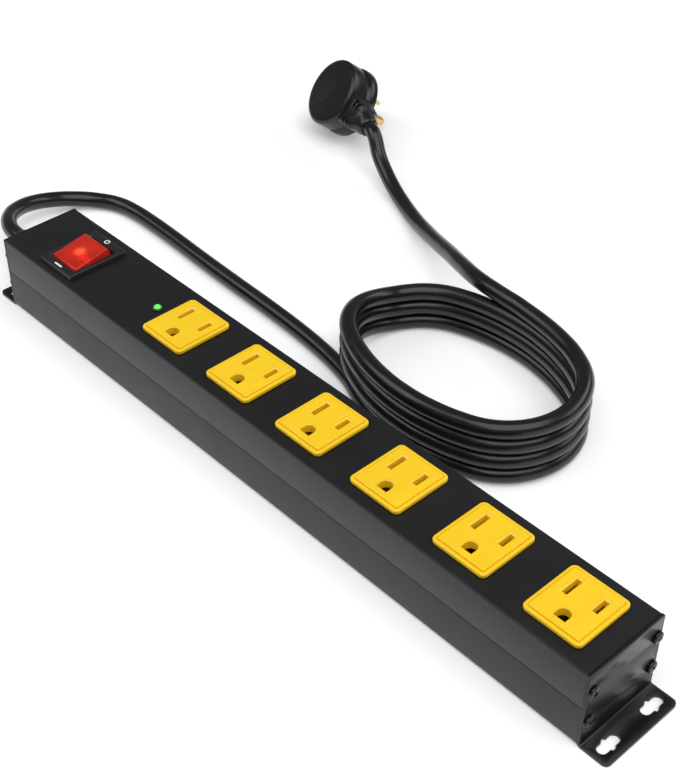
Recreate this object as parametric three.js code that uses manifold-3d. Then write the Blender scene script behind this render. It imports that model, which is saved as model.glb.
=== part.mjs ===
// Six-outlet power strip with a metal housing, a lighted reset rocker and a coiled mains cord.
// Millimetres. +X runs along the strip away from the cord, +Y towards the coil, +Z up.
// The origin is the middle of the footprint, on the surface that the strip stands on.
import * as THREE from 'three';
import { mergeVertices } from 'three/addons/utils/BufferGeometryUtils.js';
import Module from 'manifold-3d';

const wasm = await Module();
wasm.setup();

// ---- driving dimensions -------------------------------------------------------------------
const GAP = 0.3; // clearance kept between neighbouring pieces
const STRIP_LENGTH = 348.3; // over the two end plates
const STRIP_WIDTH = 39.7;
const HOUSING_HEIGHT = 36;
const HOUSING_LIFT = 1.1; // the housing hangs this far above the surface
const WALL = 1.5; // extruded housing wall
const SHEET = 1.5; // bracket sheet
const SEAM_Z = 19.6; // joint between the housing's two halves
const EAR_LENGTH = 12.1; // mounting ear past the end plate
const OUTLET_PITCH = 42.87;
const OUTLET_COUNT = 6;
const LAST_OUTLET_X = 151.4; // centre of the outlet at the plain end
const SWITCH_X = -136.9;
const SWITCH_Y = -1.05;
const LAMP_X = -83; // centre of the green indicator
const CORD_DIAMETER = 8;
const COIL_X = 19.3; // centre of the coil, whose turns lie in an oval
const COIL_Y = 85.5;
const COIL_TURN = THREE.MathUtils.degToRad(-4); // of its long axis, from +X
const COIL_HALF_LENGTH = 58; // to the middle of the cord
const COIL_HALF_WIDTH = 40;
const COIL_END_RADIUS = 35;
const COIL_TURNS_HIGH = 4;

// ---- derived places -----------------------------------------------------------------------
const PLATE_OUT = STRIP_LENGTH / 2;
const PLATE_IN = PLATE_OUT - SHEET;
const HOUSING_END = PLATE_IN - GAP;
const HALF_WIDTH = STRIP_WIDTH / 2;
const INNER_HALF = HALF_WIDTH - WALL;
const BOTTOM = HOUSING_LIFT;
const TOP = HOUSING_LIFT + HOUSING_HEIGHT;
const PORT_Y = 17.3; // screw ports run the whole length of each half
const PORT_Z = [12.4, 27.9];
const PORT_HALF = 2.6;
const PORT_BORE = 1.45;
const CORD_RADIUS = CORD_DIAMETER / 2;
const CORD_Z = 19.1; // height at which the cord leaves the end plate

// ---- materials ----------------------------------------------------------------------------
const finish = (color, roughness, metalness) =>
  new THREE.MeshStandardMaterial({ color, roughness, metalness });
const finishes = {
  housing: () => finish(0x232326, 0.45, 0.7),
  bracket: () => finish(0x1c1c1e, 0.5, 0.6),
  screw: () => finish(0x101012, 0.35, 0.8),
  outlet: () => finish(0xfccf2c, 0.4, 0),
  cover: () => finish(0x2a2a2c, 0.6, 0),
  brass: () => finish(0xc9a24a, 0.3, 1),
  tray: () => finish(0xe6e2d6, 0.6, 0),
  blackPlastic: () => finish(0x161618, 0.4, 0),
  redLens: () => finish(0xe8301c, 0.15, 0),
  neon: () => finish(0xffa050, 0.1, 0),
  greenLens: () => finish(0x58e65a, 0.2, 0),
  board: () => finish(0x1f6b3a, 0.5, 0),
  varistor: () => finish(0x2b57b8, 0.45, 0),
  spring: () => finish(0xb8bcc2, 0.3, 1),
  cord: () => finish(0x141416, 0.4, 0),
  blackWire: () => finish(0x18181a, 0.5, 0),
  whiteWire: () => finish(0xe8e8e4, 0.5, 0),
  greenWire: () => finish(0x2c8c3c, 0.5, 0),
};

// ---- shape helpers ------------------------------------------------------------------------
function solid(geometry) {
  let bare = geometry.clone();
  for (const name of Object.keys(bare.attributes)) {
    if (name !== 'position') bare.deleteAttribute(name);
  }
  bare = mergeVertices(bare, 1e-4);
  const vertProperties = new Float32Array(bare.attributes.position.array);
  const triVerts = new Uint32Array(bare.index.array);
  return new wasm.Manifold(new wasm.Mesh({ numProp: 3, vertProperties, triVerts }));
}

function geometryOf(manifold) {
  const mesh = manifold.getMesh();
  const geometry = new THREE.BufferGeometry();
  geometry.setAttribute('position', new THREE.BufferAttribute(mesh.vertProperties, 3));
  geometry.setIndex(new THREE.BufferAttribute(mesh.triVerts, 1));
  geometry.computeVertexNormals();
  return geometry;
}

const join = (first, ...rest) => rest.reduce((sum, piece) => sum.add(piece), first);
const cut = (body, ...tools) => tools.reduce((left, tool) => left.subtract(tool), body);

// box between two corners
function block(x0, x1, y0, y1, z0, z1) {
  const geometry = new THREE.BoxGeometry(x1 - x0, y1 - y0, z1 - z0);
  return solid(geometry.translate((x0 + x1) / 2, (y0 + y1) / 2, (z0 + z1) / 2));
}

// box by middle and half size in X and Y
const post = (x, y, halfX, halfY, z0, z1) =>
  block(x - halfX, x + halfX, y - halfY, y + halfY, z0, z1);

// cylinder along 'x', 'y' or 'z' from one end to the other, around the given two coordinates
function rod(axis, from, to, radius, [a, b], sides = 16, endRadius = radius) {
  const geometry = new THREE.CylinderGeometry(endRadius, radius, to - from, sides);
  const middle = (from + to) / 2;
  if (axis === 'x') return solid(geometry.rotateZ(-Math.PI / 2).translate(middle, a, b));
  if (axis === 'y') return solid(geometry.translate(a, middle, b));
  return solid(geometry.rotateX(Math.PI / 2).translate(a, b, middle));
}

function roundedRectangle(halfX, halfY, radius) {
  const shape = new THREE.Shape();
  shape.moveTo(-halfX + radius, -halfY);
  shape.lineTo(halfX - radius, -halfY);
  shape.absarc(halfX - radius, -halfY + radius, radius, -Math.PI / 2, 0);
  shape.absarc(halfX - radius, halfY - radius, radius, 0, Math.PI / 2);
  shape.absarc(-halfX + radius, halfY - radius, radius, Math.PI / 2, Math.PI);
  shape.absarc(-halfX + radius, -halfY + radius, radius, Math.PI, 1.5 * Math.PI);
  return shape;
}

// outline in XY, extruded up
function plate(shape, z0, z1, curveSegments = 4, x = 0, y = 0) {
  const geometry = new THREE.ExtrudeGeometry(shape, {
    depth: z1 - z0,
    bevelEnabled: false,
    curveSegments,
  });
  return solid(geometry.translate(x, y, z0));
}

// outline in YZ, extruded along X
function bar(shape, x0, x1, curveSegments = 4) {
  const geometry = new THREE.ExtrudeGeometry(shape, {
    depth: x1 - x0,
    bevelEnabled: false,
    curveSegments,
  });
  geometry.applyMatrix4(
    new THREE.Matrix4().makeBasis(
      new THREE.Vector3(0, 1, 0),
      new THREE.Vector3(0, 0, 1),
      new THREE.Vector3(1, 0, 0),
    ),
  );
  return solid(geometry.translate(x0, 0, 0));
}

function outline(points) {
  const shape = new THREE.Shape();
  points.forEach(([a, b], i) => (i ? shape.lineTo(a, b) : shape.moveTo(a, b)));
  shape.closePath();
  return shape;
}

// closed body between two rings of the same number of points, both convex
function funnelGeometry(lowerRing, lowerZ, upperRing, upperZ) {
  const count = lowerRing.length;
  const positions = [];
  for (const [x, y] of lowerRing) positions.push(x, y, lowerZ);
  for (const [x, y] of upperRing) positions.push(x, y, upperZ);
  const index = [];
  for (let i = 0; i < count; i += 1) {
    const next = (i + 1) % count;
    index.push(i, next, count + next, i, count + next, count + i);
    if (i > 0 && i < count - 1) {
      index.push(0, i + 1, i, count, count + i, count + i + 1);
    }
  }
  const geometry = new THREE.BufferGeometry();
  geometry.setAttribute('position', new THREE.Float32BufferAttribute(positions, 3));
  geometry.setIndex(index);
  return geometry;
}

const funnel = (...rings) => solid(funnelGeometry(...rings));

// round tube through a list of points
function tube(points, radius, sides, steps) {
  const section = new THREE.Shape();
  for (let i = 0; i < sides; i += 1) {
    const angle = (2 * Math.PI * i) / sides;
    const x = radius * Math.cos(angle);
    const y = radius * Math.sin(angle);
    if (i) section.lineTo(x, y);
    else section.moveTo(x, y);
  }
  section.closePath();
  const path = new THREE.CatmullRomCurve3(
    points.map(([x, y, z]) => new THREE.Vector3(x, y, z)),
    false,
    'centripetal',
  );
  return solid(new THREE.ExtrudeGeometry(section, { steps, extrudePath: path }));
}

const strip = new THREE.Group();

function add(parent, name, shape, material) {
  const mesh = new THREE.Mesh(geometryOf(shape), material);
  mesh.name = name;
  parent.add(mesh);
  return mesh;
}

// ---- housing: two extrusions that meet at a seam along both sides --------------------------
const OUTLET_HALF_X = 13; // flange of the outlet's face
const OUTLET_HALF_Y = 14.3;
const OUTLET_BODY_X = 11.2;
const OUTLET_BODY_Y = 12.4;
const SWITCH_BODY_X = 10.75;
const SWITCH_BODY_Y = 13.3;
const INDICATOR_RADIUS = 2.5;
const INDICATOR_HOLE = 2.3;
const outletX = (i) => LAST_OUTLET_X - (OUTLET_COUNT - 1 - i) * OUTLET_PITCH;

// half of the housing's cross-section: a channel with a screw port in each side wall
function channelOutline(webZ, seamZ, portZ) {
  const inward = Math.sign(seamZ - webZ);
  const inner = webZ + inward * WALL;
  const near = portZ - inward * PORT_HALF;
  const far = portZ + inward * PORT_HALF;
  const ledge = PORT_Y - PORT_HALF;
  const right = [
    [HALF_WIDTH, webZ],
    [HALF_WIDTH, seamZ],
    [INNER_HALF, seamZ],
    [INNER_HALF, far],
    [ledge, far],
    [ledge, near],
    [INNER_HALF, near],
    [INNER_HALF, inner],
  ];
  const left = right.map(([y, z]) => [-y, z]).reverse();
  return outline([...right, ...left]);
}

function housingHalf(webZ, seamZ, portZ) {
  const bores = [-PORT_Y, PORT_Y].map((y) =>
    rod('x', -STRIP_LENGTH, STRIP_LENGTH, PORT_BORE, [y, portZ], 10),
  );
  return cut(bar(channelOutline(webZ, seamZ, portZ), -HOUSING_END, HOUSING_END), ...bores);
}

const cutout = (x, y, halfX, halfY) =>
  plate(roundedRectangle(halfX + GAP, halfY + GAP, 1), TOP - 2 * WALL, TOP + WALL, 2, x, y);

const cutouts = [
  cutout(SWITCH_X, SWITCH_Y, SWITCH_BODY_X, SWITCH_BODY_Y),
  rod('z', TOP - 2 * WALL, TOP + WALL, INDICATOR_HOLE, [LAMP_X, 0], 16),
];
for (let i = 0; i < OUTLET_COUNT; i += 1) {
  cutouts.push(cutout(outletX(i), 0, OUTLET_BODY_X, OUTLET_BODY_Y));
}
add(
  strip,
  'top_housing',
  cut(housingHalf(TOP, SEAM_Z + GAP / 2, PORT_Z[1]), ...cutouts),
  finishes.housing(),
);
add(
  strip,
  'bottom_housing',
  housingHalf(BOTTOM, SEAM_Z - GAP / 2, PORT_Z[0]),
  finishes.housing(),
);

// ---- end brackets: an end plate bent out into a mounting ear --------------------------------
const EAR_TIP = PLATE_OUT + EAR_LENGTH;
const EAR_CORNER = 2.3;
const SLOT_X = 180.5;
const SLOT_Y = 12;
const SLOT_HALF_WIDTH = 2.1;
const SLOT_HALF_LENGTH = 5.4;
const SLOT_NOTCH = [2.9, 1.1]; // half size of the wider middle of the slot
const BEND = 0.8; // inner bend radius
const SCREW_HOLE = 1.75;
const CORD_HOLE = 6.4;

function bracket() {
  const outerBend = BEND + SHEET;
  const profile = new THREE.Shape();
  profile.moveTo(PLATE_IN, TOP);
  profile.lineTo(PLATE_IN, outerBend);
  profile.absarc(PLATE_IN + outerBend, outerBend, outerBend, Math.PI, 1.5 * Math.PI);
  profile.lineTo(EAR_TIP, 0);
  profile.lineTo(EAR_TIP, SHEET);
  profile.lineTo(PLATE_OUT + BEND, SHEET);
  profile.absarc(PLATE_OUT + BEND, SHEET + BEND, BEND, 1.5 * Math.PI, Math.PI, true);
  profile.lineTo(PLATE_OUT, TOP);
  profile.closePath();
  const geometry = new THREE.ExtrudeGeometry(profile, {
    depth: STRIP_WIDTH,
    bevelEnabled: false,
    curveSegments: 4,
  });
  geometry.rotateX(Math.PI / 2).translate(0, HALF_WIDTH, 0);
  const tools = [];
  for (const side of [-1, 1]) {
    const y = side * SLOT_Y;
    const straight = SLOT_HALF_LENGTH - SLOT_HALF_WIDTH;
    tools.push(post(SLOT_X, y, SLOT_HALF_WIDTH, straight, -SHEET, 2 * SHEET));
    for (const end of [-1, 1]) {
      tools.push(rod('z', -SHEET, 2 * SHEET, SLOT_HALF_WIDTH, [SLOT_X, y + end * straight], 16));
    }
    tools.push(post(SLOT_X, y, ...SLOT_NOTCH, -SHEET, 2 * SHEET));
    for (const z of PORT_Z) {
      tools.push(rod('x', PLATE_IN - 1, PLATE_OUT + 1, SCREW_HOLE, [side * PORT_Y, z], 10));
    }
    const corner = post(
      EAR_TIP,
      side * HALF_WIDTH,
      EAR_CORNER,
      EAR_CORNER,
      -SHEET,
      2 * SHEET,
    );
    const middle = [EAR_TIP - EAR_CORNER, side * (HALF_WIDTH - EAR_CORNER)];
    tools.push(cut(corner, rod('z', -2 * SHEET, 3 * SHEET, EAR_CORNER, middle, 20)));
  }
  return cut(solid(geometry), ...tools);
}

add(strip, 'end_bracket_plain', bracket(), finishes.bracket());
const cordHole = rod('x', PLATE_IN - 1, PLATE_OUT + 1, CORD_HOLE, [0, CORD_Z], 20);
const cordEnd = add(strip, 'end_bracket_cord', cut(bracket(), cordHole), finishes.bracket());
cordEnd.rotation.z = Math.PI;

// ---- end screws: pan heads with a cross recess, one in each port ----------------------------
const HEAD_RADIUS = 2.55;
const HEAD_HEIGHT = 1.1;
const RECESS_DEPTH = 0.7;
const RECESS_HALF_WIDTH = 0.4;
const RECESS_REACH = 1.5;
const SHANK_RADIUS = 1.1;
const SHANK_LENGTH = 9;

function screw() {
  const head = new THREE.LatheGeometry(
    [
      new THREE.Vector2(0, HEAD_HEIGHT),
      new THREE.Vector2(HEAD_RADIUS * 0.6, HEAD_HEIGHT * 0.92),
      new THREE.Vector2(HEAD_RADIUS * 0.92, HEAD_HEIGHT * 0.6),
      new THREE.Vector2(HEAD_RADIUS, 0),
      new THREE.Vector2(SHANK_RADIUS, 0),
      new THREE.Vector2(SHANK_RADIUS, -SHANK_LENGTH + 1),
      new THREE.Vector2(0, -SHANK_LENGTH),
    ].reverse(),
    12,
  );
  head.rotateZ(-Math.PI / 2);
  const arm = (halfY, halfZ) =>
    block(HEAD_HEIGHT - RECESS_DEPTH, HEAD_HEIGHT + 1, -halfY, halfY, -halfZ, halfZ);
  const recess = join(
    arm(RECESS_REACH, RECESS_HALF_WIDTH),
    arm(RECESS_HALF_WIDTH, RECESS_REACH),
  );
  return cut(solid(head), recess);
}

let screwNumber = 0;
for (const end of [-1, 1]) {
  for (const side of [-1, 1]) {
    for (const z of PORT_Z) {
      screwNumber += 1;
      const mesh = add(strip, `end_screw_${screwNumber}`, screw(), finishes.screw());
      mesh.position.set(end * (PLATE_OUT + GAP), side * PORT_Y, z);
      if (end < 0) mesh.rotation.z = Math.PI;
    }
  }
}

// ---- outlets: a face with two blade slots and a ground hole, and a cover behind it -----------
const FACE_BASE = TOP + GAP;
const FLANGE_TOP = FACE_BASE + 1.8;
const FACE_TOP = FLANGE_TOP + 0.4;
const FACE_INNER = FACE_BASE - 1.6; // underside of the face, inside the body
const BODY_BOTTOM = 22.6;
const BODY_WALL = 1.4;
const BLADE_SPACING = 12.7;
const BLADE_Y = 5.1;
const GROUND_Y = -6.8; // centre of the ground pin
const GROUND_HALF = 2.6;
const NEUTRAL_HALF_LENGTH = 4.25;
const LINE_HALF_LENGTH = 3.4;
const BLADE_HALF = 1.1;
const LEAD_IN = 0.75; // sloping mouth of a blade slot
const GROUND_LEAD_IN = 0.35;
const FLANGE_CORNER = 2.4;
const PLATEAU_INSET = 1.7;

const rectangleRing = (x, y, halfX, halfY) => [
  [x - halfX, y - halfY],
  [x + halfX, y - halfY],
  [x + halfX, y + halfY],
  [x - halfX, y + halfY],
];

// ground hole: flat towards -Y, half round towards +Y
function groundRing(grow) {
  const half = GROUND_HALF + grow;
  const ring = [
    [-half, GROUND_Y - GROUND_HALF - grow],
    [half, GROUND_Y - GROUND_HALF - grow],
  ];
  const arcSteps = 8;
  for (let i = 0; i <= arcSteps; i += 1) {
    const angle = (Math.PI * i) / arcSteps;
    ring.push([half * Math.cos(angle), GROUND_Y + half * Math.sin(angle)]);
  }
  return ring;
}

// opening through the face, with a mouth that widens to the second ring
function hole(ring, wideRing, leadIn) {
  const through = funnel(ring, FACE_INNER - 1, ring, FACE_TOP + 1);
  const mouth = funnel(ring, FACE_TOP - leadIn, wideRing, FACE_TOP + 0.001);
  return join(through, mouth);
}

function outletBody() {
  const flange = plate(
    roundedRectangle(OUTLET_HALF_X, OUTLET_HALF_Y, FLANGE_CORNER),
    FACE_BASE,
    FLANGE_TOP,
  );
  const plateau = plate(
    roundedRectangle(OUTLET_HALF_X - PLATEAU_INSET, OUTLET_HALF_Y - PLATEAU_INSET, 1),
    FACE_BASE,
    FACE_TOP,
    2,
  );
  const box = post(0, 0, OUTLET_BODY_X, OUTLET_BODY_Y, BODY_BOTTOM, FLANGE_TOP);
  const room = post(
    0,
    0,
    OUTLET_BODY_X - BODY_WALL,
    OUTLET_BODY_Y - BODY_WALL,
    BODY_BOTTOM - 1,
    FACE_INNER,
  );
  const x = BLADE_SPACING / 2;
  const openings = [
    [-x, NEUTRAL_HALF_LENGTH],
    [x, LINE_HALF_LENGTH],
  ].map(([bladeX, half]) =>
    hole(
      rectangleRing(bladeX, BLADE_Y, BLADE_HALF, half),
      rectangleRing(bladeX, BLADE_Y, BLADE_HALF + LEAD_IN, half + LEAD_IN),
      LEAD_IN,
    ),
  );
  openings.push(hole(groundRing(0), groundRing(GROUND_LEAD_IN), GROUND_LEAD_IN));
  return cut(join(box, flange, plateau), room, ...openings);
}

// cover behind the outlet, with a window for each contact
const COVER_Z = [20.9, 22.3];
const CONTACT_HALF_Y = 2.6;
const contacts = [
  { x: -BLADE_SPACING / 2, y: BLADE_Y, halfX: 1.5, gap: 0.85 },
  { x: BLADE_SPACING / 2, y: BLADE_Y, halfX: 1.5, gap: 0.85 },
  { x: 0, y: GROUND_Y, halfX: 3.1, gap: 2.45 },
];

function outletCover() {
  const windows = contacts.map(({ x, y, halfX }) =>
    post(x, y, halfX + GAP, CONTACT_HALF_Y + GAP, COVER_Z[0] - 1, COVER_Z[1] + 1),
  );
  return cut(
    plate(roundedRectangle(OUTLET_BODY_X, OUTLET_BODY_Y, 1), COVER_Z[0], COVER_Z[1], 2),
    ...windows,
  );
}

for (let i = 0; i < OUTLET_COUNT; i += 1) {
  const outlet = new THREE.Group();
  outlet.position.x = outletX(i);
  add(outlet, `outlet_body_${i + 1}`, outletBody(), finishes.outlet());
  add(outlet, `outlet_cover_${i + 1}`, outletCover(), finishes.cover());
  strip.add(outlet);
}

// ---- busbars: a strip under the outlets with a pair of leaves rising into each outlet --------
const BUSBAR_Z = [18.9, 19.9];
const BUSBAR_START = -92;
const BUSBAR_END = 162;
const BUSBAR_HALF = 2;
const LEAF_TOP = 33;

function busbar(y, contact) {
  const pieces = [block(BUSBAR_START, BUSBAR_END, y - BUSBAR_HALF, y + BUSBAR_HALF, ...BUSBAR_Z)];
  for (let i = 0; i < OUTLET_COUNT; i += 1) {
    const x = outletX(i) + contact.x;
    const low = Math.min(y, contact.y - CONTACT_HALF_Y);
    const high = Math.max(y, contact.y + CONTACT_HALF_Y);
    pieces.push(block(x - contact.halfX, x + contact.halfX, low, high, ...BUSBAR_Z));
    for (const side of [-1, 1]) {
      const near = side * contact.gap;
      const far = side * contact.halfX;
      const x0 = x + Math.min(near, far);
      const x1 = x + Math.max(near, far);
      const y0 = contact.y - CONTACT_HALF_Y;
      const y1 = contact.y + CONTACT_HALF_Y;
      pieces.push(block(x0, x1, y0, y1, BUSBAR_Z[0], LEAF_TOP));
    }
  }
  return join(...pieces);
}

const BUSBAR_Y = { neutral: 10.9, line: 0, ground: -10.9 };
add(strip, 'neutral_busbar', busbar(BUSBAR_Y.neutral, contacts[0]), finishes.brass());
add(strip, 'line_busbar', busbar(BUSBAR_Y.line, contacts[1]), finishes.brass());
add(strip, 'ground_busbar', busbar(BUSBAR_Y.ground, contacts[2]), finishes.brass());

// moulded carrier that holds the busbars off the housing
const CARRIER_FLOOR = BOTTOM + WALL + GAP;
const CARRIER_TOP = BUSBAR_Z[0] - GAP;
const CARRIER_START = BUSBAR_START + 4;
const RIB_HALF = 0.9;
const BASE_THICKNESS = 1.4;
const carrierRibs = Object.values(BUSBAR_Y).map((y) =>
  block(CARRIER_START, BUSBAR_END, y - RIB_HALF, y + RIB_HALF, CARRIER_FLOOR, CARRIER_TOP),
);
const carrierBase = block(
  CARRIER_START,
  BUSBAR_END,
  -INNER_HALF + GAP,
  INNER_HALF - GAP,
  CARRIER_FLOOR,
  CARRIER_FLOOR + BASE_THICKNESS,
);
add(strip, 'busbar_carrier', join(carrierBase, ...carrierRibs), finishes.tray());

// ---- rocker switch -------------------------------------------------------------------------
const BEZEL_HALF_X = 11.9;
const BEZEL_HALF_Y = 15.6;
const BEZEL_SLOPE = 0.7;
const BEZEL_TOP = FACE_BASE + 2;
const SWITCH_FLOOR = 17.5;
const SWITCH_WALL = 1;
const FLOOR_THICKNESS = 1.2;
const OPENING_HALF_X = 9.2; // of the bezel, around the rocker
const OPENING_HALF_Y = 11;
const PIVOT_Z = 33.5;
const ROCKER_TILT = THREE.MathUtils.degToRad(10); // pressed on its -Y side when on
const PIN_RADIUS = 1.2;
const SEESAW_Z = 21.4;
const SEESAW_TILT = THREE.MathUtils.degToRad(-8);
const TERMINAL_Y = [-6, 0, 6];
const TERMINAL_TOP = [19.2, 20.6, 19.75];
const TERMINAL_BOTTOM = 9.5;
const TERMINAL_HALF_X = 2.4;
const TERMINAL_HALF_Y = 0.4;

const rockerSwitch = new THREE.Group();
rockerSwitch.position.set(SWITCH_X, SWITCH_Y, 0);
strip.add(rockerSwitch);

function switchFrame() {
  const bezelLow = rectangleRing(0, 0, BEZEL_HALF_X, BEZEL_HALF_Y);
  const bezelHigh = rectangleRing(0, 0, BEZEL_HALF_X - BEZEL_SLOPE, BEZEL_HALF_Y - BEZEL_SLOPE);
  const bezel = funnel(bezelLow, FACE_BASE, bezelHigh, BEZEL_TOP);
  const body = post(0, 0, SWITCH_BODY_X, SWITCH_BODY_Y, SWITCH_FLOOR, FACE_BASE + 1);
  const innerX = SWITCH_BODY_X - SWITCH_WALL;
  const innerY = SWITCH_BODY_Y - SWITCH_WALL;
  const room = post(0, 0, innerX, innerY, SWITCH_FLOOR + FLOOR_THICKNESS, FACE_BASE);
  const mouth = post(0, 0, OPENING_HALF_X, OPENING_HALF_Y, FACE_BASE - 1, BEZEL_TOP + 1);
  const pinHole = rod('x', -STRIP_WIDTH, STRIP_WIDTH, PIN_RADIUS + GAP, [0, PIVOT_Z], 12);
  const slots = TERMINAL_Y.map((y) =>
    post(
      0,
      y,
      TERMINAL_HALF_X + GAP,
      TERMINAL_HALF_Y + GAP,
      SWITCH_FLOOR - 1,
      SWITCH_FLOOR + FLOOR_THICKNESS + 1,
    ),
  );
  return cut(join(bezel, body), room, mouth, pinHole, ...slots);
}

add(rockerSwitch, 'switch_frame', switchFrame(), finishes.blackPlastic());

// everything on the rocker is placed about its pivot, then tilted to the on position
const tilted = new THREE.Group();
tilted.position.z = PIVOT_Z;
tilted.rotation.x = ROCKER_TILT;
rockerSwitch.add(tilted);

const ROCKER_HALF_X = 8.8;
const ROCKER_HALF_Y = 9.9;
const ROCKER_TOP_HALF_Y = 9.2;
const ROCKER_SHOULDER = 4.6; // height at which its ends start to lean in
const ROCKER_TOP = 7.7;
const SKIN = 1.2;
const BOSS_RADIUS = 2.6;
const BOSS_BORE = 1.9;

function rocker() {
  const section = (inset, bottom) =>
    outline([
      [-ROCKER_HALF_Y + inset, bottom],
      [ROCKER_HALF_Y - inset, bottom],
      [ROCKER_HALF_Y - inset, ROCKER_SHOULDER],
      [ROCKER_TOP_HALF_Y - inset, ROCKER_TOP - inset],
      [-ROCKER_TOP_HALF_Y + inset, ROCKER_TOP - inset],
      [-ROCKER_HALF_Y + inset, ROCKER_SHOULDER],
    ]);
  const inner = ROCKER_HALF_X - SKIN;
  const shell = cut(
    bar(section(0, -1), -ROCKER_HALF_X, ROCKER_HALF_X),
    bar(section(SKIN, -2), -inner, inner),
  );
  const web = block(-inner - 0.5, inner + 0.5, -0.7, 0.7, -1, 2.4);
  const boss = rod('z', -8, 2.4, BOSS_RADIUS, [0, 0], 16);
  const bore = rod('z', -9, 1.2, BOSS_BORE, [0, 0], 16);
  const pinReach = SWITCH_BODY_X - 0.1;
  const pins = [
    rod('x', -pinReach, -inner - 0.5, PIN_RADIUS, [0, 0], 12),
    rod('x', inner + 0.5, pinReach, PIN_RADIUS, [0, 0], 12),
  ];
  return cut(join(shell, web, boss, ...pins), bore);
}

const PLUNGER_RADIUS = 1.5;
const plunger = new THREE.LatheGeometry(
  [
    new THREE.Vector2(0, -11.2),
    new THREE.Vector2(0.9, -10.9),
    new THREE.Vector2(PLUNGER_RADIUS, -10),
    new THREE.Vector2(PLUNGER_RADIUS, -4),
    new THREE.Vector2(0, -4),
  ],
  12,
).rotateX(Math.PI / 2);

const SPRING_TURNS = 5;
const springPoints = [];
for (let i = 0; i <= SPRING_TURNS * 8; i += 1) {
  const angle = (2 * Math.PI * i) / 8;
  const height = -3.3 + (4 * i) / (SPRING_TURNS * 8);
  springPoints.push([1.2 * Math.cos(angle), 1.2 * Math.sin(angle), height]);
}

add(tilted, 'switch_rocker', rocker(), finishes.redLens());
add(tilted, 'switch_plunger', solid(plunger), finishes.brass());
add(
  tilted,
  'switch_spring',
  tube(springPoints, 0.25, 5, springPoints.length - 1),
  finishes.spring(),
);
add(tilted, 'switch_lamp', rod('x', -4.5, 4.5, 1.6, [0, 4.5], 12), finishes.neon());

const seesaw = new THREE.Group();
seesaw.position.z = SEESAW_Z;
seesaw.rotation.x = SEESAW_TILT;
rockerSwitch.add(seesaw);
add(seesaw, 'switch_contact', block(-2.4, 2.4, -7.5, 7.5, -0.4, 0.4), finishes.brass());

['lamp', 'line', 'load'].forEach((name, i) => {
  const blade = post(
    0,
    TERMINAL_Y[i],
    TERMINAL_HALF_X,
    TERMINAL_HALF_Y,
    TERMINAL_BOTTOM,
    TERMINAL_TOP[i],
  );
  add(rockerSwitch, `switch_terminal_${name}`, blade, finishes.brass());
});

// ---- green indicator on its board, with the surge varistors ---------------------------------
const BOARD_X = [-108, -76];
const BOARD_HALF_Y = 9;
const BOARD_Z = [24, 25.6];
const LENS_RADIUS = 1.7;

const lens = new THREE.LatheGeometry(
  [
    new THREE.Vector2(0, BOARD_Z[1] + GAP),
    new THREE.Vector2(2.2, BOARD_Z[1] + GAP),
    new THREE.Vector2(2.2, BOARD_Z[1] + 1.3),
    new THREE.Vector2(LENS_RADIUS, BOARD_Z[1] + 1.3),
    new THREE.Vector2(LENS_RADIUS, TOP + 0.4),
    new THREE.Vector2(1.3, TOP + 1.3),
    new THREE.Vector2(0, TOP + 1.7),
  ],
  16,
).rotateX(Math.PI / 2);
add(strip, 'indicator_lens', solid(lens), finishes.greenLens()).position.x = LAMP_X;

// ring around the lens: a neck in the housing's hole, with a rim on top of the housing
const NECK_RADIUS = INDICATOR_HOLE - 0.23;
const RIM_RADIUS = INDICATOR_RADIUS + 0.2;
const RIM_Z = [FACE_BASE - 0.15, FACE_BASE + 0.4];
const holder = cut(
  join(
    rod('z', TOP - 2 * WALL, RIM_Z[1] - 0.2, NECK_RADIUS, [0, 0], 16),
    rod('z', ...RIM_Z, RIM_RADIUS, [0, 0], 16, INDICATOR_RADIUS),
  ),
  rod('z', TOP - 4 * WALL, TOP + 3, LENS_RADIUS + 0.1, [0, 0], 16),
);
add(strip, 'indicator_ring', holder, finishes.blackPlastic()).position.x = LAMP_X;

add(
  strip,
  'surge_board',
  block(BOARD_X[0], BOARD_X[1], -BOARD_HALF_Y, BOARD_HALF_Y, ...BOARD_Z),
  finishes.board(),
);
const VARISTOR_RADIUS = 4.6;
const VARISTOR_HALF = 1.3;
const VARISTOR_Z = BOARD_Z[1] + GAP + VARISTOR_RADIUS;
[-103, -98, -93].forEach((x, i) => {
  const disc = rod('x', x - VARISTOR_HALF, x + VARISTOR_HALF, VARISTOR_RADIUS, [0, VARISTOR_Z], 14);
  add(strip, `surge_varistor_${i + 1}`, disc, finishes.varistor());
});

// ---- strain relief in the cord-end bracket ---------------------------------------------------
const RELIEF_TIP = -194;
const RELIEF_INNER = -170.2;
const GROOVE_COUNT = 3; // grooves that let the sleeve flex
const GROOVE_PITCH = 4;
const FIRST_GROOVE = { x: -181, radius: 6.3 };

function strainRelief() {
  const profile = [
    [0, RELIEF_INNER],
    [8, RELIEF_INNER],
    [8, -PLATE_IN + GAP],
    [CORD_HOLE - GAP, -PLATE_IN + GAP],
    [CORD_HOLE - GAP, -PLATE_OUT - GAP],
    [8.2, -PLATE_OUT - GAP],
    [8.2, -PLATE_OUT - GAP - 2],
    [6.6, -PLATE_OUT - GAP - 2.6],
  ];
  for (let i = 0; i < GROOVE_COUNT; i += 1) {
    const x = FIRST_GROOVE.x - i * GROOVE_PITCH;
    const radius = FIRST_GROOVE.radius - 0.4 * i;
    profile.push([radius, x], [radius - 0.7, x - 0.4]);
    profile.push([radius - 0.8, x - 1.6], [radius - 0.2, x - 2]);
  }
  profile.push([4.9, RELIEF_TIP], [0, RELIEF_TIP]);
  const points = profile.map(([radius, x]) => new THREE.Vector2(radius, -x));
  return solid(new THREE.LatheGeometry(points, 16).rotateZ(Math.PI / 2));
}

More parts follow.
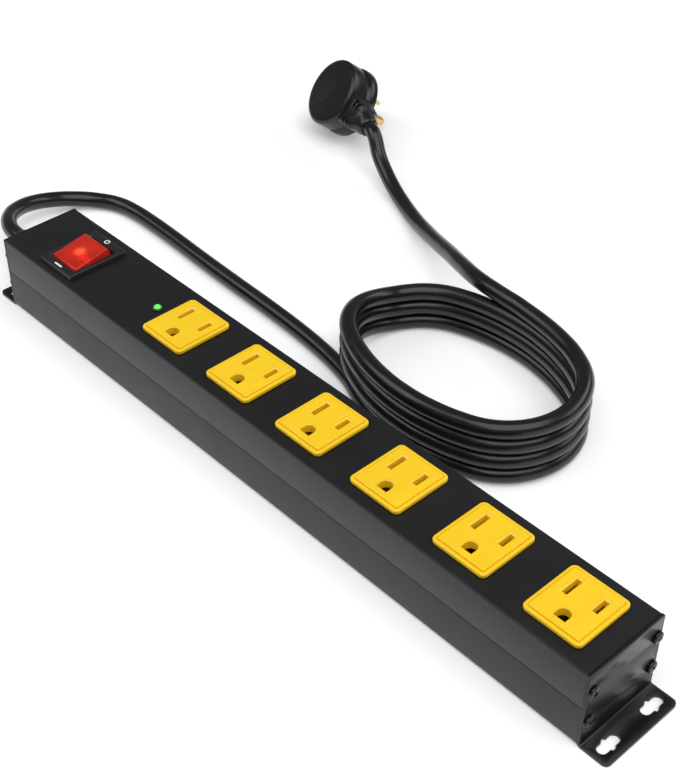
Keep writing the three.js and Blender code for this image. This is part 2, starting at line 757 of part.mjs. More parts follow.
add(strip, 'strain_relief', strainRelief(), finishes.blackPlastic()).position.z = CORD_Z;

// ---- inner wires from the cord to the switch and the busbars ---------------------------------
const WIRE_RADIUS = 1.2;
const WIRE_IN = RELIEF_INNER + 0.5; // where the cord's cores leave the strain relief
const WIRE_OUT = BUSBAR_START - 0.5; // where they meet the busbars
const TERMINAL_FOOT = TERMINAL_BOTTOM - 0.5;
const BUSBAR_MIDDLE = (BUSBAR_Z[0] + BUSBAR_Z[1]) / 2;
const [LAMP_Y, LINE_Y, LOAD_Y] = TERMINAL_Y.map((y) => SWITCH_Y + y);
const wires = {
  line_wire: [
    [WIRE_IN, 0, CORD_Z],
    [WIRE_IN + 3, 0, CORD_Z],
    [-160, 0, 15],
    [-151, LINE_Y, 8],
    [-143, LINE_Y, 4.8],
    [SWITCH_X - 1, LINE_Y, 5.6],
    [SWITCH_X, LINE_Y, TERMINAL_FOOT - 1.2],
    [SWITCH_X, LINE_Y, TERMINAL_FOOT],
  ],
  switched_wire: [
    [SWITCH_X, LOAD_Y, TERMINAL_FOOT],
    [SWITCH_X, LOAD_Y, TERMINAL_FOOT - 1.2],
    [SWITCH_X + 1, LOAD_Y, 5.6],
    [-131, LOAD_Y, 4.8],
    [-119, 4, 7],
    [-108, 1.5, 13],
    [-99, 0, 18.6],
    [WIRE_OUT - 2, 0, BUSBAR_MIDDLE],
    [WIRE_OUT, 0, BUSBAR_MIDDLE],
  ],
  neutral_wire: sideCore(1),
  ground_wire: sideCore(-1),
  lamp_wire: [
    [SWITCH_X, LAMP_Y, TERMINAL_FOOT],
    [SWITCH_X, LAMP_Y, TERMINAL_FOOT - 1.2],
    [SWITCH_X + 1, LAMP_Y, 5.6],
    [-131, LAMP_Y, 4.8],
    [-122, -6, 8],
    [-117, -6, 16],
    [-114, -6, 23],
    [BOARD_X[0] - 3, -6, 24.8],
    [BOARD_X[0] - 0.5, -6, 24.8],
  ],
};

// the two cores that pass the switch, one on each side
function sideCore(side) {
  return [
    [WIRE_IN, 3.2 * side, CORD_Z],
    [WIRE_IN + 3, 3.3 * side, CORD_Z],
    [-160, 8 * side, 14.4],
    [-150, 11 * side, 8],
    [SWITCH_X, 11.6 * side, 6.4],
    [-120, 11.2 * side, 8],
    [-108, BUSBAR_Y.neutral * side, 13],
    [-99, BUSBAR_Y.neutral * side, 18.6],
    [WIRE_OUT - 2, BUSBAR_Y.neutral * side, BUSBAR_MIDDLE],
    [WIRE_OUT, BUSBAR_Y.neutral * side, BUSBAR_MIDDLE],
  ];
}

const wireFinish = {
  line_wire: finishes.blackWire,
  switched_wire: finishes.blackWire,
  neutral_wire: finishes.whiteWire,
  ground_wire: finishes.greenWire,
  lamp_wire: finishes.whiteWire,
};
for (const [name, points] of Object.entries(wires)) {
  add(strip, name, tube(points, WIRE_RADIUS, 8, 14), wireFinish[name]());
}

// ---- plug: a round grounded plug lying on its rim and a blade --------------------------------
const PLUG_X = -186.8;
const PLUG_Y = 216;
const PLUG_RADIUS = 19.5;
const PLUG_LEAN = THREE.MathUtils.degToRad(53);
const PLUG_HEADING = THREE.MathUtils.degToRad(-20); // way the cord leaves the plug
const BLADE_LENGTH = 16.5;
const PIN_LENGTH = 18.5;
const PLUG_MIDDLE = 9.5; // height of the cord above the plug's blade side
const SLEEVE_TIP = 38; // end of the moulded sleeve, from the plug's axis
const PLUG_RIM_Z = 0.15; // its lowest point

// own frame: +X towards the cord, +Z away from the blades, leaning towards its own -Y
const plug = new THREE.Group();
plug.position.set(PLUG_X, PLUG_Y, PLUG_RADIUS * Math.sin(PLUG_LEAN) + PLUG_RIM_Z);
plug.rotation.set(PLUG_LEAN, 0, PLUG_HEADING, 'ZYX');
strip.add(plug);

function plugBody() {
  const shell = new THREE.LatheGeometry(
    [
      new THREE.Vector2(0, 1.8),
      new THREE.Vector2(15.5, 1.8),
      new THREE.Vector2(15.5, 0),
      new THREE.Vector2(PLUG_RADIUS - 0.8, 0),
      new THREE.Vector2(PLUG_RADIUS, 0.8),
      new THREE.Vector2(PLUG_RADIUS, 5),
      new THREE.Vector2(PLUG_RADIUS - 1.6, 6.4),
      new THREE.Vector2(PLUG_RADIUS - 1.6, 8.4),
      new THREE.Vector2(PLUG_RADIUS - 0.4, 9.6),
      new THREE.Vector2(PLUG_RADIUS - 0.4, 17.4),
      new THREE.Vector2(PLUG_RADIUS - 1.6, 18.6),
      new THREE.Vector2(0, 18.6),
    ],
    40,
  ).rotateX(Math.PI / 2);
  const ringAt = (halfY, halfZ) => [
    [-halfZ, -halfY],
    [halfZ, -halfY],
    [halfZ, halfY],
    [-halfZ, halfY],
  ];
  // sleeve of flattened section that narrows towards the cord, in two steps
  const sleeve = [
    [PLUG_RADIUS - 4, 9, 7.4, 29, 7.4, 6.8],
    [29, 6.8, 6.2, SLEEVE_TIP - 2.5, 6, 5.6],
    [SLEEVE_TIP - 2.5, 6, 5.6, SLEEVE_TIP, 4.9, 4.9],
  ].map(([from, halfY0, halfZ0, to, halfY1, halfZ1]) =>
    solid(
      funnelGeometry(ringAt(halfY0, halfZ0), from, ringAt(halfY1, halfZ1), to)
        .rotateY(Math.PI / 2)
        .translate(0, 0, PLUG_MIDDLE),
    ),
  );
  const grooves = [];
  for (const x of [22.4, 25.8]) {
    for (const side of [-1, 1]) {
      grooves.push(block(x, x + 1.4, side > 0 ? 3 : -9, side > 0 ? 9 : -3, 0, 20));
    }
  }
  return join(solid(shell), cut(join(...sleeve), ...grooves));
}

add(plug, 'plug_body', plugBody(), finishes.cord());

const insert = rod('z', 0.2, 1.5, 15.2, [0, 0], 32);
const PLUG_BLADE_X = -4.2;
const PLUG_PIN_X = 7.7;
const bladeWindows = [-1, 1].map((side) =>
  post(PLUG_BLADE_X, (side * BLADE_SPACING) / 2, 3.5, 1.1, -1, 3),
);
add(
  plug,
  'plug_insert',
  cut(insert, ...bladeWindows, rod('z', -1, 3, 2.7, [PLUG_PIN_X, 0], 16)),
  finishes.blackPlastic(),
);

function plugBlade(y) {
  const blade = block(
    PLUG_BLADE_X - 3.15,
    PLUG_BLADE_X + 3.15,
    y - 0.75,
    y + 0.75,
    -BLADE_LENGTH,
    1.5,
  );
  const lockHole = rod('y', y - 3, y + 3, 1.6, [PLUG_BLADE_X, -11.9], 12);
  return cut(blade, lockHole);
}

add(plug, 'plug_blade_neutral', plugBlade(-BLADE_SPACING / 2), finishes.brass());
add(plug, 'plug_blade_line', plugBlade(BLADE_SPACING / 2), finishes.brass());
const groundPin = new THREE.LatheGeometry(
  [
    new THREE.Vector2(0, -PIN_LENGTH),
    new THREE.Vector2(1.2, -PIN_LENGTH + 0.4),
    new THREE.Vector2(2.4, -PIN_LENGTH + 3),
    new THREE.Vector2(2.4, 1.5),
    new THREE.Vector2(0, 1.5),
  ],
  16,
).rotateX(Math.PI / 2);
add(plug, 'plug_ground_pin', solid(groundPin.translate(PLUG_PIN_X, 0, 0)), finishes.brass());

// ---- mains cord ------------------------------------------------------------------------------
// hand-laid route of the cord's middle, from the strain relief to the coil
const FLOOR_CORD_Z = CORD_RADIUS + 0.1;
const runRoute = [
  [RELIEF_TIP - 0.4, 0, CORD_Z],
  [-200, 0.4, 19],
  [-207.1, 2, 18.5],
  [-217.4, 8, 16.7],
  [-224.9, 17, 14.1],
  [-229, 28.2, 11],
  [-229, 39.8, 8.1],
  [-224.9, 51, 5.8],
  [-217.4, 60, 4.5],
  [-207.1, 66, FLOOR_CORD_Z],
  [-195, 68, FLOOR_CORD_Z],
  [-180, 68.2, FLOOR_CORD_Z],
  [-162, 67.6, FLOOR_CORD_Z],
  [-140, 66.4, FLOOR_CORD_Z],
  [-112, 65.2, FLOOR_CORD_Z],
  [-84, 64.2, FLOOR_CORD_Z],
  [-66, 63.2, FLOOR_CORD_Z],
  [-47, 61.3, FLOOR_CORD_Z],
  [-37.4, 59.9, FLOOR_CORD_Z],
];
// from the coil's top turn down to the floor and up into the plug
const tailRoute = [
  [-23, 133.6, 24.6],
  [-30, 137, 22.6],
  [-46, 145.6, 17.4],
  [-62, 154, 12],
  [-77, 161.8, 7.6],
  [-92, 169, 4.8],
  [-106, 175.4, FLOOR_CORD_Z],
  [-119, 181, 5.4],
  [-130, 185.6, 8.6],
  [-139, 189.4, 13],
];

// the coil's oval has round ends and flatter sides, each an arc
const COIL_SIDE_RADIUS =
  (COIL_HALF_LENGTH ** 2 + COIL_HALF_WIDTH ** 2 - 2 * COIL_HALF_LENGTH * COIL_END_RADIUS) /
  (2 * (COIL_HALF_WIDTH - COIL_END_RADIUS));
const END_CENTRE = COIL_HALF_LENGTH - COIL_END_RADIUS;
const SIDE_CENTRE = COIL_SIDE_RADIUS - COIL_HALF_WIDTH;
const END_SPAN = Math.atan2(SIDE_CENTRE, END_CENTRE); // half of the angle that an end turns through
const COIL_SECTION_HALF = CORD_RADIUS + 0.15;
const COIL_POINTS = 60;

// outline parallel to the middle of the cord, at the given distance outside it
function coilOval(distance) {
  const points = [];
  for (let i = 0; i < COIL_POINTS; i += 1) {
    const angle = (2 * Math.PI * i) / COIL_POINTS;
    const alongX = Math.cos(angle);
    const alongY = Math.sin(angle);
    const onEnd = Math.abs(alongX) > Math.cos(END_SPAN);
    const centreX = onEnd ? Math.sign(alongX) * END_CENTRE : 0;
    const centreY = onEnd ? 0 : -Math.sign(alongY) * SIDE_CENTRE;
    const radius = (onEnd ? COIL_END_RADIUS : COIL_SIDE_RADIUS) + distance;
    points.push([centreX + radius * alongX, centreY + radius * alongY]);
  }
  return outline(points);
}

const coilOutline = coilOval(COIL_SECTION_HALF);
coilOutline.holes.push(coilOval(-COIL_SECTION_HALF));
const coilRing = plate(coilOutline, 0.1, COIL_TURNS_HIGH * CORD_DIAMETER + 0.2);

// the cord ends face to face with the plug's sleeve
const sleeveEnd = new THREE.Vector3(SLEEVE_TIP + 0.5, 0, PLUG_MIDDLE);
const sleeveLead = new THREE.Vector3(SLEEVE_TIP + 5, 0, PLUG_MIDDLE);
plug.updateMatrixWorld(true);
const tailEnd = [sleeveLead, sleeveEnd].map((point) =>
  point.applyMatrix4(plug.matrixWorld).toArray(),
);

add(strip, 'cord_run', tube(runRoute, CORD_RADIUS, 10, 30), finishes.cord());
const coil = add(strip, 'cord_coil', coilRing, finishes.cord());
coil.position.set(COIL_X, COIL_Y, 0);
coil.rotation.z = COIL_TURN;
add(
  strip,
  'cord_tail',
  tube([...tailRoute, ...tailEnd], CORD_RADIUS, 10, 22),
  finishes.cord(),
);

export default strip;
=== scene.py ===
"""Looks of the six-outlet power strip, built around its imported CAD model.

Metres, in the CAD model's frame: +X along the strip away from the cord, +Y towards the coil, +Z up.
"""

import math

import bmesh
import bpy
from mathutils import Matrix, Vector


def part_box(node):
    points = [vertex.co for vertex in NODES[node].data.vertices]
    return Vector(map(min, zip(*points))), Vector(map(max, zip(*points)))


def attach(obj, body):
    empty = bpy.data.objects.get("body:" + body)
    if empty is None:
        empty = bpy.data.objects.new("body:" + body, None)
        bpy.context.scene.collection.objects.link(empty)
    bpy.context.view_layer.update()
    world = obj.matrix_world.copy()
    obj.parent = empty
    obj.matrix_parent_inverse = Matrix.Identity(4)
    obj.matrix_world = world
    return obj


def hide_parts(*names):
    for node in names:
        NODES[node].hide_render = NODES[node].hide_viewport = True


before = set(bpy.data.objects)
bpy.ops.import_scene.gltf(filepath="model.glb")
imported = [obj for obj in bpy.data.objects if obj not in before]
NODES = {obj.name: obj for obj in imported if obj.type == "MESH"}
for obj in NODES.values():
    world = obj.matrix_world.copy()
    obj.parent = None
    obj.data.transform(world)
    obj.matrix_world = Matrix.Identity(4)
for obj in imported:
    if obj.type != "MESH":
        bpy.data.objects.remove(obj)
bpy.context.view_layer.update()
MM = 0.001
STRIP = "strip"
ROCKER = "rocker"

# ---- camera and stage ---------------------------------------------------------------------
CAMERA_PLACE = Vector((334.8, -282.0, 404.4)) * MM
CAMERA_PITCH = math.radians(39.47)
CAMERA_HEADING = math.radians(46.96)
CAMERA_ROLL = math.radians(0.158)
CAMERA_LENS = 66.64


def make_camera():
    data = bpy.data.cameras.new("camera")
    data.lens = CAMERA_LENS
    data.sensor_width = 36.0
    data.clip_start = 0.01
    camera = bpy.data.objects.new("camera", data)
    turn = Matrix.Rotation(CAMERA_HEADING, 4, "Z")
    tilt = Matrix.Rotation(math.pi / 2 - CAMERA_PITCH, 4, "X")
    roll = Matrix.Rotation(CAMERA_ROLL, 4, "Z")
    camera.matrix_world = Matrix.Translation(CAMERA_PLACE) @ turn @ tilt @ roll
    bpy.context.collection.objects.link(camera)
    bpy.context.scene.camera = camera


make_camera()
bpy.context.scene.view_settings.view_transform = "Standard"

# ---- places read from the frame -----------------------------------------------------------
GAP = 0.3  # clearance between neighbouring pieces
OUTLETS = range(1, 7)
OUTLET_BODY = (11.2, 12.4)  # half sizes of the bodies under the faces
SWITCH_BODY = (10.75, 13.3)
SHEET = 1.5
EAR_LENGTH = 12.1
PIVOT_Z = 33.5
ROCKER_TILT = math.radians(10)


def box_of(node):
    low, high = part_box(node)
    return Vector(low) / MM, Vector(high) / MM


def center_of(node):
    low, high = box_of(node)
    return (low + high) / 2


TOP_LOW, TOP_HIGH = box_of("top_housing")
BOTTOM_LOW, BOTTOM_HIGH = box_of("bottom_housing")
HALF_WIDTH = TOP_HIGH.y
FACE_Z = TOP_HIGH.z
SWITCH_X, SWITCH_Y, _ = center_of("switch_frame")
LAMP_X = center_of("indicator_lens").x

# ---- cord route ---------------------------------------------------------------------------
CORD_DIAMETER = 8.0 * MM
FLOOR_Z = 4.1
EXIT_Z = 19.1
RELIEF_TIP = -194.0

# from the strain relief to where the coil begins, on the floor under its side
RUN = [
    (RELIEF_TIP + 2.5, 0, EXIT_Z),
    (-200, 0.4, 19),
    (-207.1, 2, 18.5),
    (-217.4, 8, 16.7),
    (-224.9, 17, 14.1),
    (-229, 28.2, 11),
    (-229, 39.8, 8.1),
    (-224.9, 51, 5.8),
    (-217.4, 60, 4.5),
    (-207.1, 66, FLOOR_Z),
    (-195, 68, FLOOR_Z),
    (-180, 68.2, FLOOR_Z),
    (-162, 67.6, FLOOR_Z),
    (-140, 66.4, FLOOR_Z),
    (-112, 65.2, FLOOR_Z),
    (-84, 64.2, FLOOR_Z),
    (-66, 63.2, FLOOR_Z),
    (-47, 61.3, FLOOR_Z),
    (-33, 59, FLOOR_Z),
    (-20, 55.6, FLOOR_Z),
]
# off the top turn, over the coil's back, down to the floor and up into the plug
TAIL = [
    (16, 126, 28.1),
    (4, 126.6, 28.1),
    (-12, 129.2, 26.9),
    (-30, 137, 22.6),
    (-46, 145.6, 17.4),
    (-62, 154, 12),
    (-77, 161.8, 7.6),
    (-92, 169, 4.8),
    (-106, 175.4, FLOOR_Z),
    (-119, 181, 5.4),
    (-130, 185.6, 8.6),
    (-139, 189.4, 13),
]

# the coil's turns lie in an oval with round ends and flatter sides, each an arc
COIL_X, COIL_Y = 19.3, 85.5
COIL_TURN = -4
COIL_HALF_LENGTH, COIL_HALF_WIDTH = 58.0, 40.0
END_RADIUS = 35.0
SIDE_RADIUS = (COIL_HALF_LENGTH**2 + COIL_HALF_WIDTH**2 - 2 * COIL_HALF_LENGTH * END_RADIUS) / (
    2 * (COIL_HALF_WIDTH - END_RADIUS)
)
END_CENTRE = COIL_HALF_LENGTH - END_RADIUS
SIDE_CENTRE = SIDE_RADIUS - COIL_HALF_WIDTH
END_SPAN = math.atan2(SIDE_CENTRE, END_CENTRE)
COIL_FROM, COIL_TO = 250, 1510
COIL_STEP = 10
CLIMB_FROM, CLIMB_LENGTH = 150, 75


def coil_height(angle):
    """Each turn climbs onto the one below just before it comes round to its own start."""
    turns, rest = divmod(angle - CLIMB_FROM, 360)
    climb = min(rest / CLIMB_LENGTH, 1.0)
    return (turns - 1 + climb * climb * (3 - 2 * climb)) * CORD_DIAMETER / MM


def coil_point(angle):
    """Point of the oval whose outward side looks this way, in degrees from +X."""
    outward = math.radians(angle - COIL_TURN)
    along_x, along_y = math.cos(outward), math.sin(outward)
    if abs(along_x) > math.cos(END_SPAN):
        x = math.copysign(END_CENTRE, along_x) + END_RADIUS * along_x
        y = END_RADIUS * along_y
    else:
        x = SIDE_RADIUS * along_x
        y = SIDE_RADIUS * along_y - math.copysign(SIDE_CENTRE, along_y)
    turn = math.radians(COIL_TURN)
    return (
        COIL_X + x * math.cos(turn) - y * math.sin(turn),
        COIL_Y + x * math.sin(turn) + y * math.cos(turn),
        FLOOR_Z + coil_height(angle),
    )


def coil_points():
    return [coil_point(angle) for angle in range(COIL_FROM, COIL_TO + 1, COIL_STEP)]


# ---- plug's place -------------------------------------------------------------------------
PLUG_RADIUS = 19.5
PLUG_LEAN = math.radians(53)
PLUG_HEADING = math.radians(-20)
PLUG_MIDDLE = 9.5
SLEEVE_TIP = 38.0
PLUG_RIM_Z = 0.15
PLUG_PLACE = Matrix.Translation(
    Vector((-186.8, 216, PLUG_RADIUS * math.sin(PLUG_LEAN) + PLUG_RIM_Z)) * MM
)
PLUG_TURN = Matrix.Rotation(PLUG_HEADING, 4, "Z") @ Matrix.Rotation(PLUG_LEAN, 4, "X")
PLUG_FRAME = PLUG_PLACE @ PLUG_TURN


def plug_point(x, y, z):
    return tuple(PLUG_FRAME @ (Vector((x, y, z)) * MM) / MM)


# ---- meshes -------------------------------------------------------------------------------
SHARP = math.radians(35)


def smooth(mesh):
    mesh.shade_smooth()
    mesh.set_sharp_from_angle(angle=SHARP)


def to_object(name, bm):
    bmesh.ops.recalc_face_normals(bm, faces=bm.faces)
    mesh = bpy.data.meshes.new(name)
    bm.to_mesh(mesh)
    bm.free()
    thing = bpy.data.objects.new(name, mesh)
    bpy.context.collection.objects.link(thing)
    return thing


def arc(center_a, center_b, radius, start, end, steps):
    """Points on an arc, angles in degrees."""
    points = []
    for i in range(steps + 1):
        angle = math.radians(start + (end - start) * i / steps)
        points.append((center_a + radius * math.cos(angle), center_b + radius * math.sin(angle)))
    return points


def circle(radius, sides, center_a=0.0, center_b=0.0):
    return arc(center_a, center_b, radius, 0, 360 - 360 / sides, sides - 1)


def rounded_rectangle(half_a, half_b, radius, steps=5):
    inner_a, inner_b = half_a - radius, half_b - radius
    points = arc(inner_a, inner_b, radius, 0, 90, steps)
    points += arc(-inner_a, inner_b, radius, 90, 180, steps)
    points += arc(-inner_a, -inner_b, radius, 180, 270, steps)
    points += arc(inner_a, -inner_b, radius, 270, 360, steps)
    return points


def round_corners(points, radii, steps=4):
    """Rounds each corner of a closed outline by its own radius, 0 to keep it sharp."""
    result = []
    count = len(points)
    for i, (point, radius) in enumerate(zip(points, radii)):
        here = Vector(point)
        if not radius:
            result.append(tuple(here))
            continue
        before = (Vector(points[i - 1]) - here).normalized()
        after = (Vector(points[(i + 1) % count]) - here).normalized()
        half = before.angle(after) / 2
        reach = radius / math.tan(half)
        start, end = here + before * reach, here + after * reach
        center = here + (before + after).normalized() * (radius / math.sin(half))
        for k in range(steps + 1):
            spoke = (start - center).lerp(end - center, k / steps)
            result.append(tuple(center + spoke.normalized() * radius))
    return result


AXES = {
    "z": lambda a, b, c: (a, b, c),
    "x": lambda a, b, c: (c, a, b),
    "y": lambda a, b, c: (a, c, b),
}


def loft(layers, axis="z"):
    """Closed body through rings of equal length: layers are (outline, height)."""
    bm = bmesh.new()
    place = AXES[axis]
    rings = []
    for outline, height in layers:
        rings.append([bm.verts.new(Vector(place(a, b, height)) * MM) for a, b in outline])
    count = len(rings[0])
    for lower, upper in zip(rings, rings[1:]):
        for i in range(count):
            j = (i + 1) % count
            bm.faces.new((lower[i], lower[j], upper[j], upper[i]))
    bm.faces.new(rings[0][::-1])
    bm.faces.new(rings[-1])
    return bm


def prism(outline, low, high, axis="z"):
    return loft([(outline, low), (outline, high)], axis)


def lathe(profile, segments=48, axis="z"):
    """Turned body: profile is (radius, height) from axis to axis."""
    bm = bmesh.new()
    place = AXES[axis]
    rings = []
    for radius, height in profile:
        if radius == 0:
            rings.append([bm.verts.new(Vector(place(0, 0, height)) * MM)])
            continue
        ring = circle(radius, segments)
        rings.append([bm.verts.new(Vector(place(a, b, height)) * MM) for a, b in ring])
    for lower, upper in zip(rings, rings[1:]):
        for i in range(segments):
            j = (i + 1) % segments
            corners = [
                lower[i % len(lower)],
                lower[j % len(lower)],
                upper[j % len(upper)],
                upper[i % len(upper)],
            ]
            corners = list(dict.fromkeys(corners))
            if len(corners) > 2:
                bm.faces.new(corners)
    return bm


def box(x0, x1, y0, y1, z0, z1):
    return prism([(x0, y0), (x1, y0), (x1, y1), (x0, y1)], z0, z1)


def moved(bm, x=0.0, y=0.0, z=0.0):
    bmesh.ops.translate(bm, verts=bm.verts, vec=Vector((x, y, z)) * MM)
    return bm


def transformed(bm, matrix):
    bmesh.ops.transform(bm, matrix=matrix, verts=bm.verts)
    return bm


def bake_modifiers(thing):
    depsgraph = bpy.context.evaluated_depsgraph_get()
    mesh = bpy.data.meshes.new_from_object(thing.evaluated_get(depsgraph))
    thing.modifiers.clear()
    thing.data = mesh


def combine_with(body, tool, operation):
    modifier = body.modifiers.new("boolean", "BOOLEAN")
    modifier.operation = operation
    modifier.solver = "EXACT"
    modifier.object = tool
    bake_modifiers(body)
    bpy.data.objects.remove(tool)


def combine(body, tools, operation):
    """Joins to, or cuts from, an object each of the bmesh tools."""
    for bm in tools:
        combine_with(body, to_object("tool", bm), operation)
    return body


def join(body, *tools):
    return combine(body, tools, "UNION")


def cut(body, *tools):
    return combine(body, tools, "DIFFERENCE")


def soften(thing, width, segments=2, angle=30):
    """Rounds every edge sharper than the angle."""
    modifier = thing.modifiers.new("bevel", "BEVEL")
    modifier.width = width * MM
    modifier.segments = segments
    modifier.limit_method = "ANGLE"
    modifier.angle_limit = math.radians(angle)
    modifier.use_clamp_overlap = True
    modifier.harden_normals = False
    bake_modifiers(thing)
    return thing


def settle(thing, material, replaces=(), body=STRIP):
    """Finishes a piece: shading, material, the body it rides on and what it stands for."""
    if thing.type == "MESH":
        smooth(thing.data)
    thing.data.materials.clear()
    thing.data.materials.append(material)
    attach(thing, body)
    if replaces:
        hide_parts(*replaces)
    return thing


# ---- materials ----------------------------------------------------------------------------
GLOW_PLACE = Vector((-136.9, -2.3, 40.4)) * MM  # top of the rocker, over its lamp
GLOW_REACH = 8.0 * MM


class Finish:
    """Principled material with procedural tone, roughness and grain."""

    def __init__(self, name, color, roughness, metallic=0.0):
        self.material = bpy.data.materials.new(name)
        self.material.use_nodes = True
        tree = self.material.node_tree
        self.nodes, self.links = tree.nodes, tree.links
        self.shader = self.nodes["Principled BSDF"]
        self.shader.inputs["Metallic"].default_value = metallic
        self.place = self.nodes.new("ShaderNodeTexCoord").outputs["Object"]
        self.color = color
        self.roughness = roughness
        self.shader.inputs["Base Color"].default_value = (*color, 1)
        self.shader.inputs["Roughness"].default_value = roughness
        self.normal = None

    def set(self, **values):
        for name, value in values.items():
            self.shader.inputs[name.replace("_", " ")].default_value = value
        return self

    def noise(self, size, detail=3.0, stretch=None):
        """Noise whose features are about this many millimetres across."""
        node = self.nodes.new("ShaderNodeTexNoise")
        node.inputs["Scale"].default_value = 1 / (size * MM)
        node.inputs["Detail"].default_value = detail
        node.inputs["Roughness"].default_value = 0.55
        if stretch:
            mapping = self.nodes.new("ShaderNodeMapping")
            mapping.inputs["Scale"].default_value = stretch
            self.links.new(self.place, mapping.inputs["Vector"])
            self.links.new(mapping.outputs["Vector"], node.inputs["Vector"])
        else:
            self.links.new(self.place, node.inputs["Vector"])
        return node.outputs["Fac"]

    def spread(self, source, low, high):
        node = self.nodes.new("ShaderNodeMapRange")
        node.inputs["From Min"].default_value = 0.3
        node.inputs["From Max"].default_value = 0.7
        node.inputs["To Min"].default_value = low
        node.inputs["To Max"].default_value = high
        self.links.new(source, node.inputs["Value"])
        return node.outputs["Result"]

    def tone(self, source, amount):
        """Varies the colour by this share, darker and lighter."""
        ramp = self.nodes.new("ShaderNodeValToRGB")
        ramp.color_ramp.elements[0].position = 0.3
        ramp.color_ramp.elements[1].position = 0.7
        for element, share in zip(ramp.color_ramp.elements, (1 - amount, 1 + amount)):
            element.color = (*[min(channel * share, 1) for channel in self.color], 1)
        self.links.new(source, ramp.inputs["Fac"])
        self.links.new(ramp.outputs["Color"], self.shader.inputs["Base Color"])
        return self

    def gloss(self, source, amount):
        """Varies the roughness by this much either way."""
        result = self.spread(source, self.roughness - amount, self.roughness + amount)
        self.links.new(result, self.shader.inputs["Roughness"])
        return self

    def grain(self, source, depth, strength=1.0):
        """Bump of this depth in millimetres, on top of any before it."""
        bump = self.nodes.new("ShaderNodeBump")
        bump.inputs["Distance"].default_value = depth * MM
        bump.inputs["Strength"].default_value = strength
        self.links.new(source, bump.inputs["Height"])
        if self.normal:
            self.links.new(self.normal, bump.inputs["Normal"])
        self.normal = bump.outputs["Normal"]
        self.links.new(self.normal, self.shader.inputs["Normal"])
        return self


def powder_black(name, color, roughness, grain_size, depth):
    """Satin black metal finish with a fine even grain and soft cloudy gloss."""
    made = Finish(name, color, roughness)
    made.set(Specular_IOR_Level=0.43)
    fine = made.noise(grain_size, 2.0)
    cloud = made.noise(24.0, 4.0)
    return made.tone(cloud, 0.14).gloss(cloud, 0.03).grain(fine, depth).material


def plastic(name, color, roughness, texture=0.35, depth=0.006):
    """Moulded plastic with a fine spark-eroded texture and faint flow marks."""
    made = Finish(name, color, roughness)
    flow = made.noise(9.0, 3.0, stretch=(1, 0.35, 1))
    made.tone(flow, 0.03).gloss(flow, 0.04)
    return made.grain(made.noise(texture, 2.0), depth).material


def brushed(name, color, roughness, stretch):
    """Rolled or drawn metal with fine lines along one way."""
    made = Finish(name, color, roughness, metallic=1.0)
    lines = made.noise(0.3, 3.0, stretch=stretch)
    cloud = made.noise(7.0, 3.0)
    return made.tone(cloud, 0.12).gloss(lines, 0.08).grain(lines, 0.004).material


def cord_jacket():
    """Black vinyl jacket: smooth, with faint extrusion lines and long soft waves."""
    made = Finish("cord_jacket", (0.007, 0.007, 0.008), 0.24)
    made.set(Specular_IOR_Level=0.42)
    waves = made.noise(14.0, 2.0)
    skin = made.noise(0.5, 3.0)
    made.tone(waves, 0.15).gloss(waves, 0.05)
    return made.grain(skin, 0.003).grain(waves, 0.03, 0.5).material


def clear_red():
    """Tinted clear plastic of the lighted rocker, brightest over the lamp under its middle."""
    made = Finish("rocker_red", (0.5, 0.02, 0.008), 0.14)
    made.set(Transmission_Weight=0.3, IOR=1.49)
    shift = made.nodes.new("ShaderNodeMapping")
    shift.inputs["Location"].default_value = [-axis / GLOW_REACH for axis in GLOW_PLACE]
    shift.inputs["Scale"].default_value = [1 / GLOW_REACH] * 3
    glow = made.nodes.new("ShaderNodeTexGradient")
    glow.gradient_type = "SPHERICAL"
    ramp = made.nodes.new("ShaderNodeValToRGB")
    ramp.color_ramp.elements[0].color = (0.1, 0.002, 0.0, 1)
    ramp.color_ramp.elements[1].color = (0.8, 0.2, 0.05, 1)
    middle = ramp.color_ramp.elements.new(0.55)
    middle.color = (0.22, 0.006, 0.002, 1)
    made.links.new(made.place, shift.inputs["Vector"])
    made.links.new(shift.outputs["Vector"], glow.inputs["Vector"])
    made.links.new(glow.outputs["Fac"], ramp.inputs["Fac"])
    made.links.new(ramp.outputs["Color"], made.shader.inputs["Emission Color"])
    made.shader.inputs["Emission Strength"].default_value = 0.8
    cloud = made.noise(6.0, 2.0)
    return made.tone(cloud, 0.12).gloss(cloud, 0.05).grain(made.noise(0.6, 2.0), 0.004).material


def lit(name, color, emission, strength):
    made = Finish(name, color, 0.2)
    made.shader.inputs["Emission Color"].default_value = (*emission, 1)
    made.shader.inputs["Emission Strength"].default_value = strength
    cloud = made.noise(1.5, 2.0)
    return made.tone(cloud, 0.12).gloss(cloud, 0.06).grain(made.noise(0.4, 2.0), 0.004).material


def printed_board():
    made = Finish("board_green", (0.02, 0.16, 0.06), 0.35)
    return made.tone(made.noise(2.0, 4.0), 0.3).grain(made.noise(0.8, 3.0), 0.02).material


